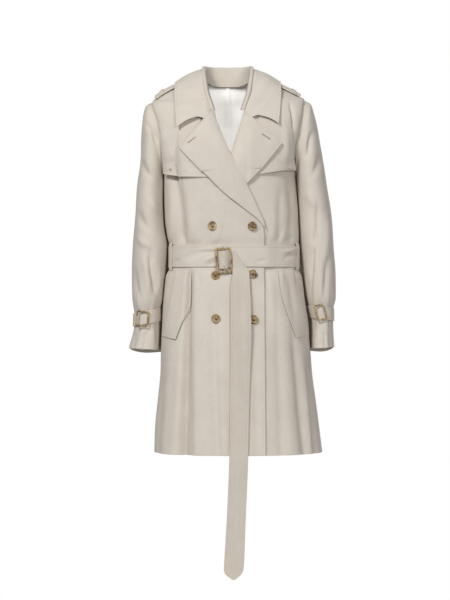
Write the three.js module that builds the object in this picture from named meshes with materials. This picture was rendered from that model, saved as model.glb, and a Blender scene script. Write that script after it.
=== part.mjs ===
// Trench coat, double-breasted and belted, filled out as when it is worn, and hollow.
// Millimetres, +Z up, the front faces -Y, and "left" is the left side as seen from the front.
// The origin is at the base of the neck, between the shoulders, where a wearer carries the coat.

import * as THREE from 'three';

// Cloth and seams
const clothWall = 1.5;
const layerGap = 0.8;
const seamGap = 0.5;
const layer = clothWall + layerGap;

// Main heights
const breakZ = -379;
const beltZ = -452;
const beltWidth = 53;

// Neck and armholes
const neckX = -6;
const neckHalf = 60;
const neckZ = -4;
const backNeckDip = 4;
const armholeDepth = 62;
const armhole = {
  left: { top: -60, bottom: -238 },
  right: { top: -55, bottom: -233 },
};
const shoulderTips = { left: -198, right: 190 };
const shoulderEase = 0.2;

// Level sections of the body: its edges, its depth to the front and back, and how square it is
const sections = [
  { z: -947, left: -190, right: 234, front: 149, back: 144, round: 2.2 },
  { z: -877, left: -188, right: 225, front: 145, back: 140, round: 2.2 },
  { z: -808, left: -183, right: 216, front: 141, back: 136, round: 2.2 },
  { z: -740, left: -177, right: 207, front: 137, back: 131, round: 2.2 },
  { z: -671, left: -174, right: 202, front: 132, back: 126, round: 2.2 },
  { z: -620, left: -171, right: 199, front: 128, back: 121, round: 2.25 },
  { z: -564, left: -168, right: 190, front: 123, back: 116, round: 2.25 },
  { z: -502, left: -163, right: 181, front: 114, back: 109, round: 2.3 },
  { z: -480, left: -153.5, right: 173, front: 109, back: 105, round: 2.3 },
  { z: -424, left: -153.5, right: 173, front: 109, back: 105, round: 2.3 },
  { z: -400, left: -158, right: 173.5, front: 114, back: 108, round: 2.3 },
  { z: -357, left: -165, right: 171.5, front: 120, back: 112, round: 2.3 },
  { z: -300, left: -167, right: 168, front: 124, back: 117, round: 2.3 },
  { z: -238, left: -167, right: 165, front: 125, back: 120, round: 2.3 },
  { z: -178, left: -171, right: 165.5, front: 121, back: 121, round: 2.3 },
  { z: -118, left: -180, right: 174, front: 108, back: 115, round: 2.25 },
  { z: -90, left: -189, right: 180, front: 96, back: 106, round: 2.2 },
  { z: -66, left: -197, right: 184, front: 84, back: 96, round: 2.1 },
  { z: -60, left: -198, right: 187, front: 81, back: 93, round: 2.05 },
  { z: -55, left: -193, right: 190, front: 78, back: 90, round: 2.0 },
  { z: -46, left: -182, right: 174, front: 72, back: 84, round: 2.0 },
  { z: -34, left: -162, right: 152, front: 65, back: 77, round: 2.0 },
  { z: -22, left: -136, right: 126, front: 59, back: 71, round: 2.0 },
  { z: -12, left: -102, right: 91, front: 54, back: 66, round: 2.0 },
  { z: -4, left: -66, right: 54, front: 48, back: 60, round: 2.0 },
];

// Largest folds: a line from top to bottom, with its width and how far it stands out (or in)
const folds = [
  { face: 'front', topX: -103, topZ: -492, endX: -114, endZ: -990, width: 13, out: -15 },
  { face: 'front', topX: -140, topZ: -560, endX: -158, endZ: -990, width: 22, out: 8 },
  { face: 'front', topX: -75, topZ: -520, endX: -70, endZ: -990, width: 26, out: 5 },
  { face: 'front', topX: 120, topZ: -520, endX: 150, endZ: -990, width: 24, out: 7 },
  { face: 'front', topX: 150, topZ: -600, endX: 190, endZ: -990, width: 13, out: -9 },
  { face: 'front', topX: -126, topZ: -150, endX: -110, endZ: -420, width: 15, out: -7 },
  { face: 'front', topX: 150, topZ: -120, endX: 150, endZ: -330, width: 13, out: -5 },
  { face: 'front', topX: 120, topZ: -300, endX: 105, endZ: -420, width: 18, out: 5 },
  { face: 'back', topX: -90, topZ: -500, endX: -110, endZ: -990, width: 26, out: 8 },
  { face: 'back', topX: -30, topZ: -520, endX: -35, endZ: -990, width: 22, out: -8 },
  { face: 'back', topX: 60, topZ: -500, endX: 72, endZ: -990, width: 28, out: 8 },
  { face: 'back', topX: 125, topZ: -560, endX: 150, endZ: -990, width: 20, out: -8 },
  { face: 'back', topX: 70, topZ: -200, endX: 50, endZ: -420, width: 26, out: -5 },
  { face: 'back', topX: -80, topZ: -200, endX: -60, endZ: -420, width: 26, out: -5 },
];
const foldFade = 90;
const foldGrowth = { depthAtTop: 0.35, widthAtTop: 0.6, widthAtEnd: 1.2 };

// Edges where the fronts turn back, from the neck down to the hem
const overEdge = [
  { z: -947, x: 87 }, { z: -660, x: 85 }, { z: -379, x: 83 }, { z: -327, x: 64 },
  { z: -272, x: 39 }, { z: -197, x: 1 }, { z: -181, x: -7 }, { z: -145, x: -23 },
  { z: -115, x: -34 }, { z: -82, x: -43 }, { z: -48, x: -56 }, { z: -10, x: -62 }, { z: -4, x: -64 },
];
const underEdge = [
  { z: -947, x: -76 }, { z: -379, x: -74 }, { z: -330, x: -58 }, { z: -272, x: -35 },
  { z: -195, x: 3 }, { z: -163, x: 13 }, { z: -117, x: 28 }, { z: -72, x: 39 },
  { z: -30, x: 44 }, { z: -10, x: 49 }, { z: -4, x: 52 },
];
const rollPullBack = 5;
const rollStart = { below: 20, above: 30 };

// The front that lies on top is lifted over the other one, between these places
const overlap = { from: -150, full: -90, edge: 88, end: 120, fadeTop: -120, fadeFull: -180 };

// Lapels: where the collar joins, the notch, the tip, and the lower edge down to the break
const lapels = {
  left: {
    start: -378, join: [-41.5, -88], notch: [-59, -106.5], tip: [-123, -181],
    lower: [[-87, -220], [-51, -256], [-18, -291], [29, -329], [64, -357], [82, -378]],
  },
  right: {
    start: -364, join: [35, -89], notch: [47, -106.5], tip: [127, -169],
    lower: [[98, -206], [68, -241], [38, -273], [-3, -312], [-42, -346], [-67, -364]],
  },
};
const lapelColumns = [0, 0.08, 0.18, 0.3, 0.48, 0.66, 0.84, 1];
const lapelNose = [{ over: 1.8, height: 0.4 }, { over: 0.5, height: 0.5 }, { over: 0.1, height: 0.78 }];
const lapelEase = 0.4;
const lapelClear = { from: 38, to: 51 };

// Storm flaps: height of the lower edge across, the outer columns and the inner one low down and
// high up, and how far the lower edge stands off
const stormFlaps = {
  left: {
    low: [{ u: 0, z: -240 }, { u: 0.2, z: -246 }, { u: 0.4, z: -252 }, { u: 1, z: -257 }],
    outer: [0.1, 0.02], second: [0.115, 0.05], third: [0.13, 0.1], inner: [0.72, 0.88], stand: 3,
  },
  right: {
    low: [{ u: 0, z: -235 }, { u: 0.35, z: -236 }, { u: 0.6, z: -242 }, { u: 1, z: -251 }],
    outer: [0.1, 0.02], second: [0.115, 0.05], third: [0.13, 0.1], inner: [0.68, 0.88], stand: 6,
  },
};

// Pocket welts: upper and lower ends of the inner and the outer edge
const pocketWelts = {
  left: {
    inner: [[-99, -495], [-101, -564], [-130, -660]],
    outer: [[-134, -482], [-146, -560], [-168, -652]],
  },
  right: {
    inner: [[117, -489], [130, -567], [163, -656]],
    outer: [[153, -479], [176, -560], [197, -646]],
  },
};
const weltEase = 0.8;

// Sleeve rings from the armhole to the cuff: the outer and the inner side, and half the depth
const sleeveRings = {
  left: [
    { outX: -200.5, outZ: -60, inX: -171, inZ: -239, depth: 62, back: 0 },
    { outX: -211, outZ: -67, inX: -171.5, inZ: -246, depth: 66, back: 0 },
    { outX: -219.5, outZ: -92, inX: -171.8, inZ: -255, depth: 69, back: 0 },
    { outX: -224.5, outZ: -143, inX: -171, inZ: -267, depth: 70, back: 0 },
    { outX: -227.5, outZ: -204, inX: -171, inZ: -287, depth: 70, back: 0 },
    { outX: -234.5, outZ: -265, inX: -171, inZ: -315, depth: 69, back: 0 },
    { outX: -239.5, outZ: -347, inX: -169, inZ: -367, depth: 67, back: 0 },
    { outX: -245.5, outZ: -428, inX: -160.5, inZ: -428, depth: 64, back: 0 },
    { outX: -248.5, outZ: -490, inX: -166, inZ: -490, depth: 61, back: 0 },
    { outX: -248.5, outZ: -555, inX: -172, inZ: -555, depth: 58, back: 0 },
    { outX: -243.5, outZ: -598, inX: -180, inZ: -596, depth: 51, back: 2 },
    { outX: -244.5, outZ: -632, inX: -180, inZ: -634, depth: 52, back: 6 },
    { outX: -256.5, outZ: -683, inX: -183, inZ: -687, depth: 57, back: 12 },
  ],
  right: [
    { outX: 192.5, outZ: -55, inX: 167.5, inZ: -233, depth: 62, back: 0 },
    { outX: 203.5, outZ: -63, inX: 168.5, inZ: -240, depth: 66, back: 0 },
    { outX: 212, outZ: -90, inX: 169.5, inZ: -249, depth: 69, back: 0 },
    { outX: 223, outZ: -136, inX: 170, inZ: -262, depth: 70, back: 0 },
    { outX: 234.5, outZ: -197, inX: 171.5, inZ: -282, depth: 70, back: 0 },
    { outX: 243.5, outZ: -262, inX: 173.5, inZ: -312, depth: 69, back: 0 },
    { outX: 255.5, outZ: -340, inX: 176, inZ: -362, depth: 67, back: 0 },
    { outX: 262, outZ: -425, inX: 180.5, inZ: -425, depth: 64, back: 0 },
    { outX: 267, outZ: -496, inX: 187.5, inZ: -496, depth: 61, back: 0 },
    { outX: 268, outZ: -552, inX: 195, inZ: -556, depth: 58, back: 0 },
    { outX: 261.5, outZ: -588, inX: 205, inZ: -596, depth: 51, back: 2 },
    { outX: 262.5, outZ: -632, inX: 209, inZ: -634, depth: 52, back: 6 },
    { outX: 264.5, outZ: -680, inX: 208.5, inZ: -684, depth: 57, back: 12 },
  ],
};

// Collar from the middle of the back to the front, at one side: neck seam, fold and outer edge
const collarStations = [
  { seam: [0, 57, -5], fold: [0, 65, 38], edge: [0, 98, -42] },
  { seam: [32, 49, -4], fold: [38, 57, 38], edge: [64, 95, -42] },
  { seam: [52, 26, -2], fold: [56, 27, 37], edge: [117, 64, -33] },
  { seam: [56, -5, -1], fold: [59, -4, 31], edge: [132, 6, -7] },
  { seam: [54, -33, -8], fold: [57, -42, 6], edge: [134, -45, -27] },
  { seam: [46, -66, -44], fold: [51, -80, -38], edge: [132, -84, -80] },
  { seam: [33, -90, -86], fold: [36, -103, -84], edge: [127, -106, -131] },
];
const collarWall = 2;
const collarLift = 5.5;
const collarCornerLift = 4;
const collarRoll = { width: 6, deepest: 6, share: 0.45 };
const collarNose = [[0, 1], [0.15, 0.25], [0.5, 0], [0.85, 0.2], [1, 0.8]];
const collarFall = [0.1, 0.25, 0.45, 0.65, 0.85, 1];
const collarBulge = 5;
const collarDrop = { left: 0, right: 10 };

// Shoulder tabs
const shoulderTab = {
  innerX: 112, outerX: 185, front: -32, back: 20, standOff: 7, innerOff: 5, innerReach: 30, wall: 2,
};
const shoulderLoop = { x: 163, width: 11, spread: 2, over: 3.6, wall: 1.2 };

// Belt, its buckle and its hanging end
const beltLift = layer;
const beltEase = 0.6;
const buckle = {
  x: -15.5, z: -463, width: 40, height: 64.5, bar: 5.5, wall: 3, lift: 13.2, lean: 0.07, tip: -0.064,
};
const beltStart = -17;
const beltFinish = -4;
const tailWall = 1.3;
const tailRows = [
  { ax: -4, az: -432, bx: -4, bz: -480, lift: 9.8 },
  { ax: 8, az: -439, bx: 46, bz: -493, lift: 10.4 },
  { ax: 9, az: -438, bx: 46.8, bz: -492.2, lift: 10.9 },
  { ax: 8, az: -439, bx: 46, bz: -493, lift: 12.4 },
  { ax: 6, az: -470, bx: 47, bz: -512, lift: 14 },
  { ax: 5.5, az: -500, bx: 47.5, bz: -532, lift: 14 },
  { ax: 1, az: -540, bx: 49, bz: -556, lift: 14 },
  { ax: 1.5, az: -640, bx: 51, bz: -640, lift: 14 },
  { ax: 1.5, az: -680, bx: 50, bz: -680, lift: 13 },
  { ax: 0, az: -790, bx: 47, bz: -790, lift: 10 },
  { ax: -2, az: -944, bx: 44, bz: -944, lift: 9 },
  { ax: -8, az: -1100, bx: 38, bz: -1100, lift: 9 },
  { ax: -15, az: -1228, bx: 32, bz: -1228, lift: 9 },
  { ax: 4, az: -1252, bx: 13, bz: -1252, lift: 9 },
];
const beltLoops = { left: -146, right: 166, width: 7.2, reach: 9, wall: 1.2 };

// Buttons
const button = { diameter: 22.7, rim: 3.4, well: 2.2, lift: 0.8 };
const buttonPlaces = [[-44, -378], [55, -379], [-36, -501], [56, -498], [-35, -609], [58, -611]];

// Cuff straps: height of the middle at the outer and inner side, and the buckle in front
const cuffStraps = {
  left: {
    outZ: -612, inZ: -598, width: 33,
    buckle: { x: -221, z: -608, width: 33, height: 40, lean: 0.1 },
  },
  right: {
    outZ: -598, inZ: -590, width: 33,
    buckle: { x: 227, z: -592, width: 28, height: 41, lean: -0.24 },
  },
};
const strapLift = 0.9;
const strapBuckle = { bar: 4.5, wall: 2.6, lift: 4.4 };

// Lining inside the back: which rows of the back it lies under, and its distance from the sides
const lining = { wall: 1, firstRow: 12, lastRow: 22, margin: 4 };

// Materials: matte woven cloth, smooth lining and polished horn
const clothColour = 0xdad0c3;
const liningColour = 0xe8e5e0;
const hornColour = 0xa89468;
const cloth = () => new THREE.MeshStandardMaterial({ color: clothColour, roughness: 0.9 });
const silk = () => new THREE.MeshStandardMaterial({ color: liningColour, roughness: 0.55 });
const horn = () => new THREE.MeshStandardMaterial({ color: hornColour, roughness: 0.35 });

const coat = new THREE.Group();

function addPiece(name, geometry, material) {
  const mesh = new THREE.Mesh(geometry, material);
  mesh.name = name;
  coat.add(mesh);
  return mesh;
}

const mix = THREE.MathUtils.lerp;
const clamp = THREE.MathUtils.clamp;
const step = (from, to, value) => {
  const t = clamp((value - from) / (to - from), 0, 1);
  return t * t * (3 - 2 * t);
};

// Smooth value of a table's column at a height, with no overshoot between its rows
function at(table, column, z, key = 'z') {
  const last = table.length - 1;
  if (z <= table[0][key]) return table[0][column];
  if (z >= table[last][key]) return table[last][column];
  const i = table.findIndex((row) => row[key] >= z) - 1;
  const slope = (k) => (table[k + 1][column] - table[k][column]) / (table[k + 1][key] - table[k][key]);
  const tangent = (k) => {
    if (k <= 0 || k >= last) return slope(clamp(k, 0, last - 1));
    const before = slope(k - 1);
    const after = slope(k);
    return before * after <= 0 ? 0 : (2 * before * after) / (before + after);
  };
  const span = table[i + 1][key] - table[i][key];
  const t = (z - table[i][key]) / span;
  const low = table[i][column];
  const high = table[i + 1][column];
  return low * (1 + 2 * t) * (1 - t) ** 2 + tangent(i) * span * t * (1 - t) ** 2
    + high * t * t * (3 - 2 * t) - tangent(i + 1) * span * t * t * (1 - t);
}

// Half the depth of the armhole at a height
function sideDepth(side, z) {
  const { top, bottom } = armhole[side];
  const middle = (top + bottom) / 2;
  const reach = (z - middle) / ((top - bottom) / 2);
  return Math.abs(reach) >= 1 ? 0 : armholeDepth * Math.sqrt(1 - reach * reach);
}

// Height of the shoulder line over a place
function shoulderZ(x) {
  const side = x < neckX ? 'left' : 'right';
  let low = armhole[side].top;
  let high = neckZ;
  for (let i = 0; i < 40; i += 1) {
    const middle = (low + high) / 2;
    const inside = Math.abs(at(sections, side, middle)) > Math.abs(x);
    if (inside) low = middle;
    else high = middle;
  }
  return (low + high) / 2;
}

// Angle round the body of a place on its front or back: 0 at the left side, half a turn at the right
function angleAt(x, z, face) {
  const left = at(sections, 'left', z);
  const right = at(sections, 'right', z);
  const across = clamp((2 * x - left - right) / (right - left), -1, 1);
  const square = at(sections, 'round', z);
  const angle = Math.acos(-Math.sign(across) * Math.abs(across) ** (square / 2));
  return face === 'front' ? angle : 2 * Math.PI - angle;
}

// Point of the plain body surface
function bodyBase(angle, z) {
  const left = at(sections, 'left', z);
  const right = at(sections, 'right', z);
  const power = 2 / at(sections, 'round', z);
  const cos = Math.cos(angle);
  const sin = Math.sin(angle);
  const x = (left + right) / 2 - ((right - left) / 2) * Math.sign(cos) * Math.abs(cos) ** power;
  const face = sin >= 0 ? -1 : 1;
  const middleDepth = at(sections, sin >= 0 ? 'front' : 'back', z);
  const edgeDepth = sideDepth(cos > 0 ? 'left' : 'right', z);
  const depth = edgeDepth + (middleDepth - edgeDepth) * Math.abs(sin) ** power;
  return new THREE.Vector3(x, face * depth, z);
}

// How far the folds stand out at a place: they grow deeper and wider towards their lower ends
function foldOut(face, x, z) {
  const { depthAtTop, widthAtTop, widthAtEnd } = foldGrowth;
  let out = 0;
  for (const fold of folds) {
    if (fold.face !== face) continue;
    const along = clamp((fold.topZ - z) / (fold.topZ - fold.endZ), 0, 1);
    const fade = step(fold.topZ + 10, fold.topZ - foldFade, z) * step(fold.endZ - 10, fold.endZ + 40, z);
    const width = fold.width * mix(widthAtTop, widthAtEnd, along);
    const away = (x - mix(fold.topX, fold.endX, along)) / width;
    out += fold.out * mix(depthAtTop, 1, along) * fade * Math.exp(-away * away);
  }
  return out;
}

// Point of the body surface with its folds, moved out by a lift
function bodyPoint(angle, z, lift = 0) {
  const point = bodyBase(angle, z);
  const turn = 0.004;
  const rise = 1;
  const round = bodyBase(angle + turn, z).sub(bodyBase(angle - turn, z));
  const up = bodyBase(angle, z + rise).sub(bodyBase(angle, z - rise));
  const normal = round.cross(up).normalize();
  const face = Math.sin(angle) >= 0 ? 'front' : 'back';
  return point.addScaledVector(normal, foldOut(face, point.x, z) + lift);
}

const frontPoint = (x, z, lift) => bodyPoint(angleAt(x, z, 'front'), z, lift);

// How far the top front is lifted over the other one
function overLift(x, z) {
  const over = step(overlap.from, overlap.full, x) * (1 - step(overlap.edge, overlap.end, x));
  return 2 * layer * over * step(overlap.fadeTop, overlap.fadeFull, z);
}

// Grid of points from a function of two fractions
function grid(rowFractions, columnFractions, pointAt) {
  return rowFractions.map((v) => columnFractions.map((u) => pointAt(u, v)));
}

const even = (count) => Array.from({ length: count + 1 }, (_, i) => i / count);

// Closed wall between two distances from a grid of points. Rows run up and columns run
// counter-clockwise seen from above, so that a positive distance is outwards.
function wall(rows, inner, outer, closed = false) {
  const rowCount = rows.length;
  const columnCount = rows[0].length;
  const wrap = (j) => (closed ? (j + columnCount) % columnCount : clamp(j, 0, columnCount - 1));
  const positions = [];
  const index = [];
  const vertex = (layerIndex, i, j) => (layerIndex * rowCount + i) * columnCount + wrap(j);
  const normalAt = (i, j) => {
    const across = rows[i][wrap(j + 1)].clone().sub(rows[i][wrap(j - 1)]);
    const along = rows[Math.min(i + 1, rowCount - 1)][j].clone().sub(rows[Math.max(i - 1, 0)][j]);
    return across.cross(along).normalize();
  };
  for (const distance of [outer, inner]) {
    for (let i = 0; i < rowCount; i += 1) {
      for (let j = 0; j < columnCount; j += 1) {
        const point = rows[i][j].clone().addScaledVector(normalAt(i, j), distance);
        positions.push(point.x, point.y, point.z);
      }
    }
  }
  const quad = (a, b, c, d) => index.push(a, b, c, a, c, d);
  const lastRow = rowCount - 1;
  const spans = closed ? columnCount : columnCount - 1;
  for (let j = 0; j < spans; j += 1) {
    for (let i = 0; i < lastRow; i += 1) {
      quad(vertex(0, i, j), vertex(0, i, j + 1), vertex(0, i + 1, j + 1), vertex(0, i + 1, j));
      index.push(vertex(1, i, j), vertex(1, i + 1, j + 1), vertex(1, i, j + 1));
      index.push(vertex(1, i, j), vertex(1, i + 1, j), vertex(1, i + 1, j + 1));
    }
    quad(vertex(0, 0, j), vertex(1, 0, j), vertex(1, 0, j + 1), vertex(0, 0, j + 1));
    quad(vertex(0, lastRow, j), vertex(0, lastRow, j + 1), vertex(1, lastRow, j + 1), vertex(1, lastRow, j));
  }
  if (!closed) {
    const end = columnCount - 1;
    for (let i = 0; i < lastRow; i += 1) {
      quad(vertex(0, i, 0), vertex(0, i + 1, 0), vertex(1, i + 1, 0), vertex(1, i, 0));
      quad(vertex(0, i, end), vertex(1, i, end), vertex(1, i + 1, end), vertex(0, i + 1, end));
    }
  }
  const geometry = new THREE.BufferGeometry();
  geometry.setAttribute('position', new THREE.Float32BufferAttribute(positions, 3));
  geometry.setIndex(index);
  return geometry;
}

// Rows of the body panels: heights up to the armpit, then fractions from there to the shoulder
const skirtRows = [-947, -885, -810, -735, -665, -600, -550, -510, -480, -424, -390, -350, -310, -272];
const shoulderRows = [0, 0.12, 0.25, 0.4, 0.55, 0.7, 0.82, 0.91, 0.97, 1];

// Height and edge of the armhole at a fraction of the way up it
function armholeEdge(side, t) {
  const { top, bottom } = armhole[side];
  const z = (top + bottom) / 2 - ((top - bottom) / 2) * Math.cos(Math.PI * t);
  return { x: at(sections, side, z), z };
}

// One front, as rows of points from its side seam or armhole to its front edge
function frontRows(side, edgeTable, columns) {
  const sideAngle = side === 'left' ? 0 : Math.PI;
  const edgeX = (z) => {
    const inward = side === 'left' ? -1 : 1;
    const rolled = step(breakZ - rollStart.below, breakZ + rollStart.above, z);
    return at(edgeTable, 'x', z) + inward * rollPullBack * rolled;
  };
  const lift = (x, z) => (side === 'left' ? overLift(x, z) : 0);
  const place = (angle, z) => {
    const base = bodyBase(angle, z);
    const point = bodyPoint(angle, z, lift(base.x, z));
    point.y = Math.min(point.y, -seamGap / 2);
    return point;
  };
  const rows = [];
  for (const z of skirtRows) {
    const edgeAngle = angleAt(edgeX(z), z, 'front');
    rows.push(columns.map((u) => place(mix(sideAngle, edgeAngle, u), z)));
  }
  const startZ = armhole[side].bottom;
  const sideX = at(sections, side, startZ);
  const startEdge = angleAt(edgeX(startZ), startZ, 'front');
  const startShare = columns.map((u) => {
    const x = bodyBase(mix(sideAngle, startEdge, u), startZ).x;
    return (x - sideX) / (edgeX(startZ) - sideX);
  });
  for (const t of shoulderRows) {
    const outer = armholeEdge(side, t);
    const rise = t * (neckZ - armhole[side].top);
    const innerX = edgeX(outer.z + rise);
    const tip = at(sections, side, armhole[side].top);
    rows.push(columns.map((u, j) => {
      const share = mix(startShare[j], u, t * t);
      const x = mix(outer.x, innerX, share);
      const topX = mix(tip, edgeX(neckZ), share);
      const z = outer.z + t * (shoulderZ(topX) - armhole[side].top);
      const top = shoulderZ(clamp(x, shoulderTips.left, shoulderTips.right));
      const height = t === 1 ? top : Math.min(z, top - shoulderEase);
      return place(angleAt(x, height, 'front'), height);
    }));
  }
  return side === 'left' ? rows : rows.map((row) => row.reverse());
}

const overColumns = [
  0, 0.05, 0.1, 0.16, 0.22, 0.28, 0.33, 0.37, 0.41, 0.46, 0.52, 0.6, 0.68, 0.76, 0.84, 0.92, 1,
];
const underColumns = [0, 0.05, 0.1, 0.15, 0.2, 0.25, 0.3, 0.36, 0.43, 0.5, 0.58, 0.66, 0.76, 0.88, 1];
const fronts = {
  left: { columns: overColumns, rows: frontRows('left', overEdge, overColumns) },
  right: { columns: underColumns, rows: frontRows('right', underEdge, underColumns) },
};
addPiece('front_over', wall(fronts.left.rows, 0, clothWall), cloth());
addPiece('front_under', wall(fronts.right.rows, 0, clothWall), cloth());

// The back, from its right side seam round to its left one, up to the shoulders and the neck
function backRows() {
  const shoulderShares = [0, 0.14, 0.28, 0.43, 0.6, 0.8];
  const neckShares = [0, 0.06, 0.2, 0.4, 0.6, 0.8, 0.94];
  const tipRight = at(sections, 'right', armhole.right.top);
  const tipLeft = at(sections, 'left', armhole.left.top);
  const neckRight = neckX + neckHalf;
  const neckLeft = neckX - neckHalf;
  const topX = [
    ...shoulderShares.map((s) => mix(tipRight, neckRight, s)),
    ...neckShares.map((s) => mix(neckRight, neckLeft, s)),
    ...shoulderShares.map((s) => mix(tipLeft, neckLeft, s)).concat(neckLeft).reverse(),
  ];
  const count = topX.length - 1;
  const place = (angle, z, lift) => {
    const point = bodyPoint(angle, z, lift);
    point.y = Math.max(point.y, seamGap / 2);
    return point;
  };
  const topZ = (x) => {
    const fromNeck = Math.abs(x - neckX) / neckHalf;
    return fromNeck >= 1 ? shoulderZ(x) : neckZ - backNeckDip * (1 - fromNeck ** 2);
  };
  const turns = topX.map((_, j) => Math.PI * (1 + j / count));
  const rows = skirtRows.map((z) => turns.map((angle) => place(angle, z, 0)));
  const startZ = armhole.left.bottom;
  const startX = turns.map((angle) => bodyBase(angle, startZ).x);
  const startShare = startX.map((x) => (x - startX[0]) / (startX[count] - startX[0]));
  const topShare = topX.map((x) => (x - tipRight) / (tipLeft - tipRight));
  for (const t of shoulderRows) {
    const right = armholeEdge('right', t);
    const left = armholeEdge('left', t);
    rows.push(topX.map((top, j) => {
      const share = mix(startShare[j], topShare[j], t * t);
      const x = mix(right.x, left.x, share);
      const edgeZ = mix(right.z, left.z, share);
      const tipZ = mix(armhole.right.top, armhole.left.top, share);
      const z = edgeZ + t * (topZ(mix(tipRight, tipLeft, share)) - tipZ);
      return place(angleAt(x, z, 'back'), z, 0);
    }));
  }
  return rows;
}

const backPanel = backRows();
addPiece('back', wall(backPanel, 0, clothWall), cloth());

// Point of a sleeve: its fraction down from the armhole, its angle from the outer side round by the front
function sleevePoint(side, down, angle, lift = 0) {
  const rings = sleeveRings[side].map((ring, i) => ({ ...ring, place: i / (sleeveRings[side].length - 1) }));
  const value = (column, d) => at(rings, column, clamp(d, 0, 1), 'place');
  const pointAt = (d, a) => {
    const outer = new THREE.Vector3(value('outX', d), 0, value('outZ', d));
    const inner = new THREE.Vector3(value('inX', d), 0, value('inZ', d));
    const middle = outer.clone().add(inner).multiplyScalar(0.5);
    const reach = outer.sub(inner).multiplyScalar(0.5 * Math.cos(a));
    const back = Math.max(0, -Math.sin(a)) * value('back', d);
    return middle.add(reach).add(new THREE.Vector3(0, -value('depth', d) * Math.sin(a), -back));
  };
  const point = pointAt(down, angle);
  const round = pointAt(down, angle + 0.01).sub(pointAt(down, angle - 0.01));
  const along = pointAt(down + 0.004, angle).sub(pointAt(down - 0.004, angle));
  const normal = along.cross(round).normalize().multiplyScalar(side === 'left' ? 1 : -1);
  return point.addScaledVector(normal, lift);
}

function addSleeve(side) {
  const rowCount = 20;
  const columnCount = 16;
  const direction = side === 'left' ? 1 : -1;
  const rows = [];
  for (let i = rowCount; i >= 0; i -= 1) {
    const row = [];
    for (let j = 0; j < columnCount; j += 1) {
      row.push(sleevePoint(side, i / rowCount, (direction * j * 2 * Math.PI) / columnCount));
    }
    rows.push(row);
  }
  addPiece(`sleeve_${side}`, wall(rows, 0, clothWall, true), cloth());
  return rows;
}

const sleeves = { left: addSleeve('left'), right: addSleeve('right') };

// Place along a list of flat points, by the share of its length
function alongPoints(points, share) {
  const lengths = points.slice(1).map((p, i) => Math.hypot(p[0] - points[i][0], p[1] - points[i][1]));
  let rest = clamp(share, 0, 1) * lengths.reduce((sum, l) => sum + l, 0);
  for (let i = 0; i < lengths.length; i += 1) {
    if (rest <= lengths[i] || i === lengths.length - 1) {
      const t = rest / lengths[i];
      return [mix(points[i][0], points[i + 1][0], t), mix(points[i][1], points[i + 1][1], t)];
    }
    rest -= lengths[i];
  }
  return points[points.length - 1];
}

// How far the lapel of a side lies over the plain body: it clears the storm flap, and where the
// other front hides it, it lies flat
function lapelLift(side, x, z) {
  if (side === 'left') return overLift(x, z) + 2 * layer + lapelEase;
  return layer + (layer + lapelEase) * step(lapelClear.from, lapelClear.to, x);
}

function addLapel(side) {
  const { start, join, notch, tip, lower } = lapels[side];
  const edgeTable = side === 'left' ? overEdge : underEdge;
  const outward = side === 'left' ? -1 : 1;
  const lowerEdge = [tip, ...lower];
  const topEdge = [join, notch, tip];
  const rows = [];
  for (const v of even(12)) {
    const rollZ = mix(start, join[1], v);
    const rollX = at(edgeTable, 'x', rollZ);
    const outer = alongPoints(lowerEdge, 1 - v ** 0.8);
    const shaped = lapelColumns.map((u) => {
      const top = alongPoints(topEdge, u);
      const plainTop = [mix(join[0], tip[0], u), mix(join[1], tip[1], u)];
      const bend = v ** 8;
      return [
        mix(rollX, outer[0], u) + bend * (top[0] - plainTop[0]),
        mix(rollZ, outer[1], u) + bend * (top[1] - plainTop[1]),
      ];
    });
    const base = side === 'left' ? overLift(rollX, rollZ) : 0;
    const full = lapelLift(side, rollX, rollZ) - base;
    const rolled = lapelNose.map(({ over, height }) => {
      const x = rollX + outward * over;
      return frontPoint(x, rollZ, base + full * height);
    });
    const row = [...rolled, ...shaped.map(([x, z]) => frontPoint(x, z, lapelLift(side, x, z)))];
    rows.push(side === 'left' ? row.reverse() : row);
  }
  addPiece(`lapel_${side}`, wall(rows, 0, clothWall), cloth());
}

addLapel('left');
addLapel('right');

// Point of a panel's row at a fraction of its columns
function onRow(row, columns, u) {
  const k = clamp(columns.findIndex((c) => c >= u), 1, columns.length - 1);
  return row[k - 1].clone().lerp(row[k], (u - columns[k - 1]) / (columns[k] - columns[k - 1]));
}

// Storm flaps lie on the fronts, so they are made from their rows
function addStormFlap(side) {
  const { low, outer, second, third, inner, stand } = stormFlaps[side];
  const panel = fronts[side];
  const first = panel.rows.length - shoulderRows.length;
  const ordered = panel.rows.map((row) => (side === 'left' ? row : [...row].reverse()));
  const shared = panel.columns.filter((u) => u > third[0] + 0.01 && u < inner[0]);
  const columnsAt = (t) => [
    ...[outer, second, third].map((column) => mix(column[0], column[1], t)),
    ...shared,
    mix(inner[0], inner[1], t),
  ];
  const rowAt = (i, t) => columnsAt(t).map((u) => onRow(ordered[i], panel.columns, u));
  const above = rowAt(first, 0);
  const lowRow = rowAt(first - 1, 0).map((point, j) => {
    const u = columnsAt(0)[j];
    const height = at(low, 'z', u, 'u');
    const share = (height - point.z) / (above[j].z - point.z);
    const onPanel = point.lerp(above[j], share);
    onPanel.y -= stand * Math.sin((Math.PI * (u - outer[0])) / (inner[0] - outer[0]));
    return onPanel;
  });
  const rows = [lowRow, ...shoulderRows.map((t, k) => rowAt(first + k, t))];
  const facing = rows.map((row) => (side === 'left' ? row : row.reverse()));
  addPiece(`storm_flap_${side}`, wall(facing, layer, layer + clothWall), cloth());
}

addStormFlap('left');
addStormFlap('right');

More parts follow.
